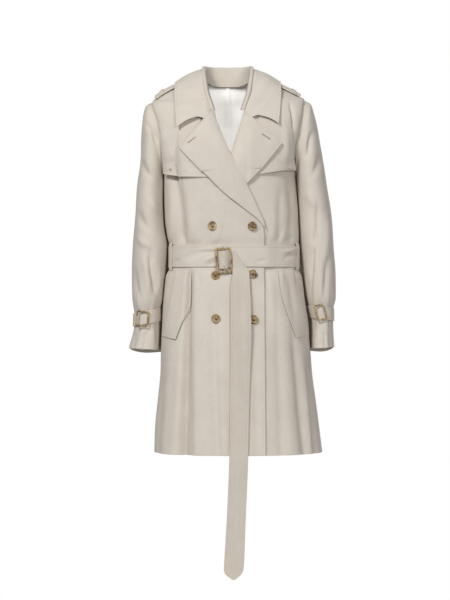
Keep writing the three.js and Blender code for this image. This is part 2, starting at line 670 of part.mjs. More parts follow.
function addPocketWelt(side) {
  const { inner, outer } = pocketWelts[side];
  const rows = even(8).map((v) => {
    const a = alongPoints(inner, 1 - v);
    const b = alongPoints(outer, 1 - v);
    const row = even(4).map((u) => {
      const x = mix(a[0], b[0], u);
      const z = mix(a[1], b[1], u);
      return frontPoint(x, z, layer + weltEase + (side === 'left' ? overLift(x, z) : 0));
    });
    return side === 'left' ? row.reverse() : row;
  });
  addPiece(`pocket_welt_${side}`, wall(rows, 0, clothWall), cloth());
}

addPocketWelt('left');
addPocketWelt('right');

// Collar: up from the neck seam inside, over the fold, and down outside
function collarRows() {
  const curveOf = (key) => {
    const half = collarStations.map((station) => station[key]);
    const left = half.slice(1).map(([x, y, z], i) => {
      const share = (i + 1) / (half.length - 1);
      return new THREE.Vector3(neckX - x, y, z - collarDrop.left * share ** 3);
    });
    const right = half.slice(1).map(([x, y, z], i) => {
      const share = (i + 1) / (half.length - 1);
      const drop = key === 'edge' ? collarDrop.right * share ** 6 : 0;
      return new THREE.Vector3(neckX + x, y, z + drop);
    });
    const [x, y, z] = half[0];
    const middle = new THREE.Vector3(neckX + x, y, z);
    return new THREE.CatmullRomCurve3([...left.reverse(), middle, ...right], false, 'centripetal');
  };
  const seam = curveOf('seam');
  const fold = curveOf('fold');
  const edge = curveOf('edge');
  const clear = (point, lift) => {
    const face = point.y < 0 ? 'front' : 'back';
    const top = shoulderZ(clamp(point.x, shoulderTips.left, shoulderTips.right));
    if (point.z > top - 1) return point;
    const onBody = bodyPoint(angleAt(point.x, point.z, face), point.z, 0);
    const limit = Math.abs(onBody.y) + lift;
    point.y = face === 'front' ? Math.min(point.y, -limit) : Math.max(point.y, limit);
    return point;
  };
  const columns = even(28).map((u) => {
    const s = seam.getPoint(u);
    const f = fold.getPoint(u);
    const e = edge.getPoint(u);
    const up = f.clone().sub(s);
    const height = up.length();
    up.normalize();
    const out = e.clone().sub(f);
    out.addScaledVector(up, -out.dot(up)).normalize();
    const drop = Math.min(collarRoll.deepest, height * collarRoll.share);
    const nose = collarNose.map(([w, d]) => (
      f.clone().addScaledVector(out, w * collarRoll.width).addScaledVector(up, -d * drop)));
    const stand = [0, 0.5].map((v) => s.clone().lerp(nose[0], v));
    const start = nose[nose.length - 1];
    const front = Math.abs(2 * u - 1) ** 6;
    const down = collarFall.map((v) => {
      const point = start.clone().lerp(e, v);
      point.addScaledVector(up, collarBulge * Math.sin(Math.PI * v) * (1 - front));
      return clear(point, collarLift + collarWall + collarCornerLift * v * front);
    });
    return [...stand, ...nose, ...down];
  });
  return columns[0].map((_, i) => columns.map((column) => column[i]));
}

addPiece('collar', wall(collarRows(), 0, collarWall), cloth());

// Height of the shoulder surface over a place beside the shoulder line
function shoulderTop(x, y) {
  const face = y < 0 ? 'front' : 'back';
  const top = shoulderZ(x);
  let low = top - 45;
  let high = top;
  for (let i = 0; i < 30; i += 1) {
    const middle = (low + high) / 2;
    if (Math.abs(bodyBase(angleAt(x, middle, face), middle).y) < Math.abs(y)) high = middle;
    else low = middle;
  }
  return (low + high) / 2;
}

// Shoulder tabs lie along the shoulder, from under the collar out to the sleeve
function addShoulderTab(side) {
  const { innerX, outerX, front, back, standOff, innerOff, innerReach } = shoulderTab;
  const out = side === 'left' ? -1 : 1;
  const rows = (from, to, count, spread, lift) => [0, 0.17, 0.33, 0.5, 0.67, 0.83, 1].map((v) => (
    even(count).map((u) => {
      const reach = mix(from, to, side === 'left' ? 1 - u : u);
      const x = neckX + out * reach;
      const y = mix(front - spread, back + spread, v);
      const near = step(innerX + innerReach, innerX, reach) * (standOff - innerOff);
      return new THREE.Vector3(x, y, shoulderTop(x, y) + lift - near);
    })));
  addPiece(`shoulder_tab_${side}`, wall(rows(innerX, outerX, 8, 0, standOff), 0, shoulderTab.wall), cloth());
  const { x, width, spread, over } = shoulderLoop;
  const loop = rows(x, x + width, 2, spread, standOff + over);
  addPiece(`shoulder_loop_${side}`, wall(loop, 0, shoulderLoop.wall), cloth());
}

addShoulderTab('left');
addShoulderTab('right');

// Belt: from the buckle round by the left side, the back and the right side
const overBelt = (x) => overLift(x, beltZ) + beltLift;

function beltBand(low, high, lift) {
  const from = angleAt(beltStart, beltZ, 'front');
  const to = angleAt(beltFinish, beltZ, 'front') - 2 * Math.PI;
  return [low, (low + high) / 2, high].map((z) => even(48).map((u) => {
    const angle = mix(to, from, u);
    const base = bodyBase(angle, beltZ);
    const over = base.y < 0 ? overLift(base.x, beltZ) : 0;
    const centre = bodyPoint(angle, beltZ, over + beltLift + lift);
    return new THREE.Vector3(centre.x, centre.y, z);
  }));
}

const beltRows = beltBand(beltZ - beltWidth / 2, beltZ + beltWidth / 2, beltEase);
addPiece('belt', wall(beltRows, 0, clothWall), cloth());

function addBeltLoop(side) {
  const { width, reach } = beltLoops;
  const x = beltLoops[side];
  const heights = [-1, -0.94, -0.88, 0, 0.88, 0.94, 1];
  const rows = heights.map((v) => [-0.5, 0, 0.5].map((u) => {
    const z = beltZ + v * (beltWidth / 2 + reach);
    const lift = Math.abs(v) > 0.9 ? layer + weltEase : beltLift + beltEase + layer;
    return bodyPoint(angleAt(x + u * width, z, 'front'), z, lift);
  }));
  addPiece(`belt_loop_${side}`, wall(rows, 0, beltLoops.wall), cloth());
}

addBeltLoop('left');
addBeltLoop('right');

// Buckle frame with a middle bar, facing the front
function buckleGeometry(width, height, bar, thickness) {
  const corner = bar * 0.9;
  const rounded = (target, x0, y0, x1, y1, r) => {
    target.moveTo(x0 + r, y0);
    target.lineTo(x1 - r, y0);
    target.quadraticCurveTo(x1, y0, x1, y0 + r);
    target.lineTo(x1, y1 - r);
    target.quadraticCurveTo(x1, y1, x1 - r, y1);
    target.lineTo(x0 + r, y1);
    target.quadraticCurveTo(x0, y1, x0, y1 - r);
    target.lineTo(x0, y0 + r);
    target.quadraticCurveTo(x0, y0, x0 + r, y0);
    return target;
  };
  const x = width / 2;
  const y = height / 2;
  const shape = rounded(new THREE.Shape(), -x, -y, x, y, corner);
  const middle = bar * 0.4;
  shape.holes.push(rounded(new THREE.Path(), -x + bar, -y + bar, -middle, y - bar, 1.5));
  shape.holes.push(rounded(new THREE.Path(), middle, -y + bar, x - bar, y - bar, 1.5));
  const bevel = 0.6;
  const geometry = new THREE.ExtrudeGeometry(shape, {
    depth: thickness - 2 * bevel, bevelThickness: bevel, bevelSize: bevel, bevelOffset: -bevel,
    bevelSegments: 1, curveSegments: 2,
  });
  geometry.translate(0, 0, bevel);
  geometry.rotateX(Math.PI / 2);
  return geometry;
}

function addBuckle() {
  const { x, z, width, height, bar, wall: thickness, lift, lean, tip } = buckle;
  const mesh = addPiece('belt_buckle', buckleGeometry(width, height, bar, thickness), horn());
  mesh.position.copy(frontPoint(x, beltZ, lift));
  mesh.position.z = z;
  mesh.rotation.set(tip, -lean, 0);
}

addBuckle();

// Hanging end of the belt: out of the buckle, folded over once, and down
function addBeltTail() {
  const rows = tailRows.map(({ ax, az, bx, bz, lift }) => even(4).map((u) => {
    const x = mix(bx, ax, u);
    const z = mix(bz, az, u);
    return frontPoint(x, z, lift + beltEase);
  }));
  addPiece('belt_tail', wall(rows, 0, tailWall), cloth());
}

addBeltTail();

// Buttons: a dished disc with a raised rim
function addButtons() {
  const radius = button.diameter / 2;
  const profile = [
    [0, 0], [radius * 0.86, 0], [radius, 1], [radius, button.rim - 0.8], [radius - 0.9, button.rim],
    [radius - 2.2, button.rim], [radius - 3.8, button.well], [0, button.well],
  ].map(([x, y]) => new THREE.Vector2(x, y));
  buttonPlaces.forEach(([x, z], i) => {
    const mesh = addPiece(`button_${i + 1}`, new THREE.LatheGeometry(profile, 12), horn());
    const lift = overLift(x, z) + clothWall + button.lift;
    const near = [[-8, 0], [8, 0], [0, -8], [0, 8]].map(([dx, dz]) => frontPoint(x + dx, z + dz, lift).y);
    mesh.position.set(x, Math.min(...near, frontPoint(x, z, lift).y), z);
    mesh.rotation.x = Math.PI;
  });
}

addButtons();

// Point of a sleeve's column at a height
function onColumn(rows, j, z) {
  const k = clamp(rows.findIndex((row) => row[j].z >= z), 1, rows.length - 1);
  const low = rows[k - 1][j];
  const high = rows[k][j];
  return low.clone().lerp(high, (z - low.z) / (high.z - low.z));
}

// Cuff straps go once round the sleeve, half bridging its hollow, under a small buckle in front
function addCuffStrap(side) {
  const { outZ, inZ, width, buckle: frame } = cuffStraps[side];
  const rows = sleeves[side];
  const count = rows[0].length;
  const band = [-0.5, 0, 0.5].map((v) => rows[0].map((_, j) => {
    const share = 0.5 + 0.5 * Math.cos((j * 2 * Math.PI) / count);
    return onColumn(rows, j, mix(inZ, outZ, share) + v * width);
  }));
  const [low, middle, high] = band;
  const straight = low.map((point, j) => point.clone().lerp(high[j], 0.5));
  const bridged = [low, middle.map((point, j) => point.clone().lerp(straight[j], 0.5)), high];
  const strap = wall(bridged, clothWall + strapLift, 2 * clothWall + strapLift, true);
  addPiece(`cuff_strap_${side}`, strap, cloth());
  const mesh = addPiece(
    `cuff_buckle_${side}`,
    buckleGeometry(frame.width, frame.height, strapBuckle.bar, strapBuckle.wall),
    horn(),
  );
  const front = Math.min(...band.flat().map((point) => point.y));
  mesh.position.set(frame.x, front - strapBuckle.lift, frame.z);
  mesh.rotation.y = frame.lean;
}

addCuffStrap('left');
addCuffStrap('right');

// Lining inside the back, where the open neck shows it
function addLining() {
  const { firstRow, lastRow, margin } = lining;
  const rows = backPanel.slice(firstRow, lastRow).map((row) => row.slice(margin, row.length - margin));
  addPiece('lining_back', wall(rows, -layerGap - lining.wall, -layerGap), silk());
}

addLining();

export default coat;
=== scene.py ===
# Trench coat, filled out as when worn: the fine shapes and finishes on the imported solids.
# Tables and shapes are in millimetres, and a mesh is made in metres. The front faces -Y, and
# "left" is the left side as seen from the front, as in the names of the solids.
import math

import bpy
import numpy as np
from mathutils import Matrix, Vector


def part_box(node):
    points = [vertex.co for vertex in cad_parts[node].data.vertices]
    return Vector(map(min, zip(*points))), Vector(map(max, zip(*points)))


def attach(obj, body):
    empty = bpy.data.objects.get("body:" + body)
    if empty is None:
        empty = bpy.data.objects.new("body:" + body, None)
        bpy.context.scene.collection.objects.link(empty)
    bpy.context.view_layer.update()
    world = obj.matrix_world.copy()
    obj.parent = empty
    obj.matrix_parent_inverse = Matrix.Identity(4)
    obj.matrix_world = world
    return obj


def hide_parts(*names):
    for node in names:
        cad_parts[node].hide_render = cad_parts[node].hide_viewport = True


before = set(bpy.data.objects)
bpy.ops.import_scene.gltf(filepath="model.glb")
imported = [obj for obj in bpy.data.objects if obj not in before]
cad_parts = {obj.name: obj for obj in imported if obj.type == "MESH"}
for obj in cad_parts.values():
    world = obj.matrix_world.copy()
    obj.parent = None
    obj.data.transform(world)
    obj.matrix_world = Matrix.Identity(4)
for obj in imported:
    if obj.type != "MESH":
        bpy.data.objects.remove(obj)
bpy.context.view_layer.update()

metre = 0.001
print("frame loaded:", len(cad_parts), "nodes")


# Numbers

def tableOf(columns, rows):
    return dict(zip(columns, np.array(rows, float).T))


def mix(low, high, share):
    return low + (high - low) * share


def smooth(low, high, value):
    share = np.clip((np.asarray(value, float) - low) / (high - low), 0, 1)
    return share * share * (3 - 2 * share)


def valueAt(table, name, place, key="z"):
    # smooth value of a table's column, with no overshoot between its rows
    keys, values = table[key], table[name]
    slopes = np.diff(values) / np.diff(keys)
    product, total = slopes[:-1] * slopes[1:], slopes[:-1] + slopes[1:]
    inner = np.where(product > 0, 2 * product / np.where(total == 0, 1, total), 0)
    tangents = np.concatenate([slopes[:1], inner, slopes[-1:]])
    place = np.clip(np.asarray(place, float), keys[0], keys[-1])
    i = np.clip(np.searchsorted(keys, place) - 1, 0, len(keys) - 2)
    span = keys[i + 1] - keys[i]
    t = (place - keys[i]) / span
    return (values[i] * (1 + 2 * t) * (1 - t) ** 2 + tangents[i] * span * t * (1 - t) ** 2
            + values[i + 1] * t * t * (3 - 2 * t) - tangents[i + 1] * span * t * t * (1 - t))


def unit(vectors):
    length = np.linalg.norm(vectors, axis=-1, keepdims=True)
    return vectors / np.where(length == 0, 1, length)


def along(points, share):
    # places on a line of points, by the share of its length
    points = np.asarray(points, float)
    run = np.concatenate([[0], np.cumsum(np.linalg.norm(np.diff(points, axis=0), axis=1))])
    wanted = np.asarray(share) * run[-1]
    return np.stack([np.interp(wanted, run, points[:, k]) for k in range(points.shape[1])], -1)


def spread(length, spacing, first=(0, 0.6, 1.8), last=(0, 0.6, 1.8)):
    # shares from 0 to 1 over a length, closer together near its ends
    count = max(2, round((length - first[-1] - last[-1]) / spacing))
    middle = np.linspace(first[-1], length - last[-1], count + 1)[1:-1]
    ends = [length - value for value in reversed(last)]
    return np.concatenate([first, middle, ends]) / length


sewnEdge = (0, 0.5, 1.4, 2.8, 4.2, 4.9, 5.5, 6.1, 6.8, 8.2)    # closer steps across a row of stitches
stitchInset = 5.5                                              # how far the stitches are from an edge


# Sizes that the solids have too

body = tableOf(("z", "left", "right", "front", "back", "round"), [
    (-947, -190, 234, 149, 144, 2.2), (-877, -188, 225, 145, 140, 2.2), (-808, -183, 216, 141, 136, 2.2),
    (-740, -177, 207, 137, 131, 2.2), (-671, -174, 202, 132, 126, 2.2), (-620, -171, 199, 128, 121, 2.25),
    (-564, -168, 190, 123, 116, 2.25), (-502, -163, 181, 114, 109, 2.3), (-480, -153.5, 173, 109, 105, 2.3),
    (-424, -153.5, 173, 109, 105, 2.3), (-400, -158, 173.5, 114, 108, 2.3),
    (-357, -165, 171.5, 120, 112, 2.3),
    (-300, -167, 168, 124, 117, 2.3), (-238, -167, 165, 125, 120, 2.3), (-178, -171, 165.5, 121, 121, 2.3),
    (-118, -180, 174, 108, 115, 2.25), (-90, -189, 180, 96, 106, 2.2), (-66, -197, 184, 84, 96, 2.1),
    (-60, -198, 187, 81, 93, 2.05), (-55, -193, 190, 78, 90, 2.0), (-46, -182, 174, 72, 84, 2.0),
    (-34, -162, 152, 65, 77, 2.0), (-22, -136, 126, 59, 71, 2.0), (-12, -102, 91, 54, 66, 2.0),
    (-4, -66, 54, 48, 60, 2.0),
])

coat = {
    "wall": 1.5, "layer": 2.3, "seamGap": 0.5, "breakZ": -379, "beltZ": -452, "beltWidth": 53,
    "neckX": -6, "neckHalf": 60, "neckZ": -4, "backNeckDip": 4, "armholeDepth": 62, "rollPullBack": 5,
}
armholes = {"left": {"top": -60, "bottom": -238}, "right": {"top": -55, "bottom": -233}}
shoulderTips = {"left": -198, "right": 190}
overlap = {"from": -150, "full": -90, "edge": 88, "end": 120, "fadeTop": -120, "fadeFull": -180}

overEdge = tableOf(("z", "x"), [
    (-947, 87), (-660, 85), (-379, 83), (-327, 64), (-272, 39), (-197, 1), (-181, -7), (-145, -23),
    (-115, -34), (-82, -43), (-48, -56), (-10, -62), (-4, -64),
])
underEdge = tableOf(("z", "x"), [
    (-947, -76), (-379, -74), (-330, -58), (-272, -35), (-195, 3), (-163, 13), (-117, 28), (-72, 39),
    (-30, 44), (-10, 49), (-4, 52),
])

# Largest folds, as in the solids: from top to bottom, width, how far each stands out or in, and how
# much wider its right side is
folds = {
    "front": [
        (-103, -488, -116, -990, 15, -15, 0.5), (-140, -560, -158, -990, 22, 8, 0),
        (-75, -520, -70, -990, 26, 5, 0),
        (120, -520, 150, -990, 24, 7, 0), (150, -600, 190, -990, 13, -9, 0.2),
        (-132, -150, -112, -420, 15, -7, -0.5),
        (150, -120, 150, -330, 13, -5, 0), (120, -300, 105, -420, 18, 5, 0),
    ],
    "back": [
        (-90, -500, -110, -990, 26, 8, 0), (-30, -520, -35, -990, 22, -8, 0.3),
        (60, -500, 72, -990, 28, 8, 0),
        (125, -560, 150, -990, 20, -8, -0.3), (70, -200, 50, -420, 26, -5, 0),
        (-80, -200, -60, -420, 26, -5, 0),
    ],
}
foldFade = 90

# Finer creases, given one by one: a bowed line, its width, how far it stands out or in, how much wider
# its right side is, and how gently its two ends fade
creases = {
    "front": [
        (-99, -482, -119, -1000, -4, 7, -8.0, 0.35, 0.03, 0.0),
        (-126, -600, -140, -1000, 5, 12, 3.0, 0, 0.5, 0.0),
        (-92, -560, -86, -1000, 3, 9, 2.4, 0.2, 0.4, 0.0),
        (-40, -488, -24, -1000, -4, 11, -4.0, -0.2, 0.4, 0.0),
        (-20, -640, -14, -1000, -4, 11, 2.2, 0, 0.5, 0.0),
        (-168, -690, -178, -1000, 0, 9, -2.4, 0, 0.5, 0.0),
        (62, -500, 68, -1000, -3, 8, -1.8, 0, 0.3, 0.1),
        (110, -560, 126, -1000, 5, 12, -3.0, 0.2, 0.4, 0.0),
        (172, -660, 204, -1000, 4, 8, 3.4, -0.2, 0.5, 0.0),
        (196, -700, 216, -1000, 0, 6, -4.2, 0, 0.4, 0.0),
        (100, -484, 108, -700, 2, 7, 1.8, 0, 0.3, 0.6), (140, -488, 158, -640, 3, 7, -1.6, 0, 0.3, 0.6),
        (-140, -226, -111, -430, 2, 9, -8.5, -0.6, 0.06, 0.0),
        (-131, -118, -141, -262, -2, 12, -5.0, -0.2, 0.4, 0.1),
        (-104, -250, -96, -424, 2, 9, 2.2, 0, 0.5, 0.1),
        (-60, -270, -66, -424, 4, 11, -2.2, 0, 0.4, 0.1), (-25, -330, -38, -424, 3, 8, 1.6, 0, 0.5, 0.1),
        (-90, -385, -100, -424, 0, 4, -1.7, 0, 0.5, 0.1), (-70, -392, -74, -424, 0, 4, 1.3, 0, 0.5, 0.1),
        (147, -62, 156, -140, 2, 5, -4.5, 0.3, 0.3, 0.3),
        (156, -120, 163, -228, 2, 6, -3.2, 0.2, 0.4, 0.2), (132, -90, 142, -226, 3, 9, 2.2, 0, 0.5, 0.3),
        (128, -262, 122, -424, -3, 9, -2.6, 0, 0.4, 0.1), (152, -262, 148, -424, 2, 8, -2.2, 0, 0.4, 0.1),
        (96, -372, 92, -424, 0, 5, -1.6, 0, 0.5, 0.1), (136, -380, 126, -424, 0, 4, 1.6, 0, 0.5, 0.1),
        (158, -392, 150, -424, 0, 4, -1.5, 0, 0.5, 0.1), (-150, -255, -152, -420, 2, 6, 1.8, 0, 0.4, 0.2),
        (-80, -482, -74, -560, 2, 5, -1.6, 0, 0.1, 0.7), (-58, -482, -54, -540, 1, 4, 1.4, 0, 0.1, 0.7),
        (4, -482, 2, -580, 1, 6, 1.2, 0, 0.1, 0.7), (84, -482, 92, -560, 1, 4, -1.5, 0, 0.1, 0.7),
        (124, -482, 130, -540, 1, 4, 1.3, 0, 0.1, 0.7), (158, -482, 168, -560, 1, 4, -1.5, 0, 0.1, 0.7),
        (-175, -150, -140, -100, -6, 9, -2.0, 0, 0.4, 0.5),
        (-160, -215, -120, -160, -7, 8, 1.6, 0, 0.4, 0.5),
    ],
    "back": [
        (-140, -486, -160, -1000, 6, 8, -3.4, 0.2, 0.1, 0.0),
        (-62, -484, -74, -1000, -4, 12, 3.0, 0, 0.3, 0.0),
        (14, -484, 20, -1000, 6, 11, -3.6, 0.2, 0.2, 0.0),
        (92, -486, 110, -1000, -5, 10, -2.8, 0, 0.2, 0.0),
        (150, -486, 184, -1000, 4, 8, 3.0, 0, 0.3, 0.0), (-16, -486, -12, -700, 2, 5, 1.8, 0, 0.1, 0.6),
        (40, -486, 44, -640, 1, 5, -1.7, 0, 0.1, 0.6), (-100, -486, -104, -620, 1, 5, -1.7, 0, 0.1, 0.6),
        (-6, -110, -6, -424, 0, 12, -2.2, 0, 0.3, 0.1), (-110, -180, -84, -424, 8, 10, 2.6, 0, 0.4, 0.1),
        (100, -180, 76, -424, -8, 10, 2.6, 0, 0.4, 0.1), (-130, -300, -120, -424, 3, 6, -2.4, 0, 0.4, 0.1),
        (126, -290, 118, -424, -3, 6, -2.4, 0, 0.4, 0.1), (-46, -380, -42, -424, 0, 4, 1.6, 0, 0.5, 0.1),
        (28, -380, 26, -424, 0, 4, -1.6, 0, 0.5, 0.1), (-150, -150, -100, -120, -8, 10, -2.2, 0, 0.4, 0.5),
        (140, -150, 92, -120, 8, 10, -2.2, 0, 0.4, 0.5),
    ],
    "belt": [
        (-122, -467, -44, -437, 6, 7, -2.6, 0.2, 0.5, 0.3), (-96, -446, -36, -432, 3, 5, 1.8, 0, 0.5, 0.3),
        (-70, -470, -34, -452, 2, 4, 1.9, 0, 0.5, 0.2), (-60, -476, -33, -466, 1, 3, -1.6, 0, 0.5, 0.2),
        (-52, -442, -32, -440, 1, 3, -1.6, 0, 0.5, 0.2), (120, -440, 168, -430, -3, 4, 1.5, 0, 0.5, 0.3),
        (128, -462, 170, -444, 3, 5, -1.7, 0, 0.5, 0.3), (60, -468, 96, -462, 2, 4, -0.9, 0, 0.5, 0.5),
        (-150, -470, -118, -460, 2, 5, -1.2, 0, 0.5, 0.5),
    ],
    "tail": [
        (22, -500, 26, -640, 2, 7, -1.6, 0, 0.4, 0.5), (36, -560, 38, -760, 1, 5, 1.0, 0, 0.5, 0.5),
        (12, -720, 9, -960, 1, 6, -0.9, 0, 0.5, 0.5), (26, -900, 20, -1180, -2, 7, 1.0, 0, 0.5, 0.5),
    ],
}


def creaseOut(rows, a, b):
    # how far bowed lines stand out at places a across and b up
    out = np.zeros(np.broadcast(a, b).shape)
    for x0, z0, x1, z1, bow, width, depth, lean, fade0, fade1 in rows:
        dx, dz = x1 - x0, z1 - z0
        length = math.hypot(dx, dz)
        t = ((a - x0) * dx + (b - z0) * dz) / length ** 2
        away = ((b - z0) * dx - (a - x0) * dz) / length - bow * 4 * t * (1 - t)
        wide = width * np.where(away > 0, 1 + lean, 1 - lean)
        start = smooth(-0.02, fade0, t) if fade0 > 0 else (t > 0)
        end = smooth(1.02, 1 - fade1, t) if fade1 > 0 else (t < 1)
        out += depth * np.exp(-(away / wide) ** 2) * start * end
    return out


# waves by their pace across and up, their start and their height
ripples = [
    (0.021, 0.006, 0.3, 0.45), (-0.013, 0.011, 1.9, 0.5), (0.038, -0.009, 4.1, 0.22),
    (0.009, 0.029, 2.6, 0.25), (0.061, 0.017, 0.8, 0.12), (-0.047, 0.034, 5.2, 0.1),
]


def rippleOut(a, b, share=1.0):
    # the faint unevenness of cloth that hangs free
    return share * sum(size * np.sin(p * a + q * b + r + 1.3 * np.sin(0.008 * b + r))
                       for p, q, r, size in ripples)


# Surface of the body

def sideDepth(side, z):
    top, bottom = armholes[side]["top"], armholes[side]["bottom"]
    reach = (z - (top + bottom) / 2) / ((top - bottom) / 2)
    return coat["armholeDepth"] * np.sqrt(np.clip(1 - reach * reach, 0, 1))


def shoulderLine(side):
    z = np.linspace(armholes[side]["top"], coat["neckZ"], 400)
    x = np.abs(valueAt(body, side, z))
    return x[::-1], z[::-1]


shoulderLines = {side: shoulderLine(side) for side in ("left", "right")}


def shoulderZ(x):
    x = np.asarray(x, float)
    both = [np.interp(np.abs(x), *shoulderLines[side]) for side in ("left", "right")]
    return np.where(x < coat["neckX"], both[0], both[1])


def angleAt(x, z, face):
    # angle round the body: 0 at the left side, half a turn at the right
    left, right = valueAt(body, "left", z), valueAt(body, "right", z)
    across = np.clip((2 * x - left - right) / (right - left), -1, 1)
    square = valueAt(body, "round", z)
    angle = np.arccos(-np.sign(across) * np.abs(across) ** (square / 2))
    return angle if face == "front" else 2 * math.pi - angle


def bodyBase(angle, z):
    z = np.broadcast_to(np.asarray(z, float), np.broadcast(angle, z).shape)
    left, right = valueAt(body, "left", z), valueAt(body, "right", z)
    power = 2 / valueAt(body, "round", z)
    cos, sin = np.cos(angle), np.sin(angle)
    x = (left + right) / 2 - (right - left) / 2 * np.sign(cos) * np.abs(cos) ** power
    middle = np.where(sin >= 0, valueAt(body, "front", z), valueAt(body, "back", z))
    edge = np.where(cos > 0, sideDepth("left", z), sideDepth("right", z))
    depth = edge + (middle - edge) * np.abs(sin) ** power
    return np.stack([x, np.where(sin >= 0, -depth, depth), z], -1)


def foldOut(face, x, z):
    out = np.zeros(np.broadcast(x, z).shape)
    for topX, topZ, endX, endZ, width, depth, lean in folds[face]:
        down = np.clip((topZ - z) / (topZ - endZ), 0, 1)
        fade = smooth(topZ + 10, topZ - foldFade, z) * smooth(endZ - 10, endZ + 40, z)
        away = x - mix(topX, endX, down)
        away = away / (width * mix(0.6, 1.2, down) * np.where(away > 0, 1 + lean, 1 - lean))
        out += depth * mix(0.35, 1, down) * fade * np.exp(-away * away)
    return out


creaseStrength = {"front": 1.55, "back": 1.5, "sleeve": 2.1, "belt": 2.1}


def fineOut(face, x, z):
    free = smooth(-481, -500, z) + smooth(-424, -405, z)     # the belt holds the cloth flat
    high = smooth(-40, -110, z)
    folds = creaseStrength[face] * creaseOut(creases[face], x, z)
    return (folds + rippleOut(x, z, 1.7) * high) * np.clip(free, 0, 1)


def bodyPoint(angle, z, lift=0.0, fine=1.0):
    point = bodyBase(angle, z)
    turn = bodyBase(angle + 0.004, z) - bodyBase(angle - 0.004, z)
    rise = bodyBase(angle, z + 1) - bodyBase(angle, z - 1)
    normal = unit(np.cross(turn, rise))
    x, height = point[..., 0], point[..., 2]
    out = np.where(np.sin(angle) >= 0,
                   foldOut("front", x, height) + fine * fineOut("front", x, height),
                   foldOut("back", x, height) + fine * fineOut("back", x, height))
    return point + normal * (out + lift)[..., None]


def frontPoint(x, z, lift=0.0, fine=1.0):
    return bodyPoint(angleAt(x, z, "front"), z, lift, fine)


def overLift(x, z):
    # the front that lies on top is lifted over the other one
    over = smooth(overlap["from"], overlap["full"], x) * (1 - smooth(overlap["edge"], overlap["end"], x))
    return 2 * coat["layer"] * over * smooth(overlap["fadeTop"], overlap["fadeFull"], z)


# Meshes

def runs(rows, axis, closed=False):
    # length of cloth up to each point of a grid, along its rows or columns
    ahead = np.concatenate([rows, rows[:, :1]], 1) if closed else rows
    steps = np.linalg.norm(np.diff(ahead, axis=axis), axis=-1)
    zero = np.zeros_like(np.take(steps, [0], axis))
    return np.cumsum(np.concatenate([zero, steps], axis), axis)


def normalsOf(rows, closed=False):
    if closed:
        across = np.roll(rows, -1, 1) - np.roll(rows, 1, 1)
    else:
        across = np.gradient(rows, axis=1)
    return unit(np.cross(across, np.gradient(rows, axis=0)))


def makeMesh(name, points, faces, materials, corners=None, slots=None):
    mesh = bpy.data.meshes.new(name)
    mesh.from_pydata((np.asarray(points) * metre).tolist(), [], [list(map(int, f)) for f in faces])
    for material in materials:
        mesh.materials.append(material)
    if corners is not None:
        layer = mesh.uv_layers.new(name="clothLength")
        layer.data.foreach_set("uv", (np.asarray(corners) * metre).ravel())
    if slots is not None:
        mesh.polygons.foreach_set("material_index", slots)
    mesh.polygons.foreach_set("use_smooth", [True] * len(mesh.polygons))
    mesh.update()
    piece = bpy.data.objects.new(name, mesh)
    bpy.context.scene.collection.objects.link(piece)
    return piece


def sewnLow(distance, inset=stitchInset):
    # cloth is drawn in along a row of stitches, and is full between it and the edge
    groove = -0.28 * np.exp(-((distance - inset) / 0.75) ** 2)
    return groove + 0.18 * np.exp(-((distance - inset / 2) / (inset / 3)) ** 2)


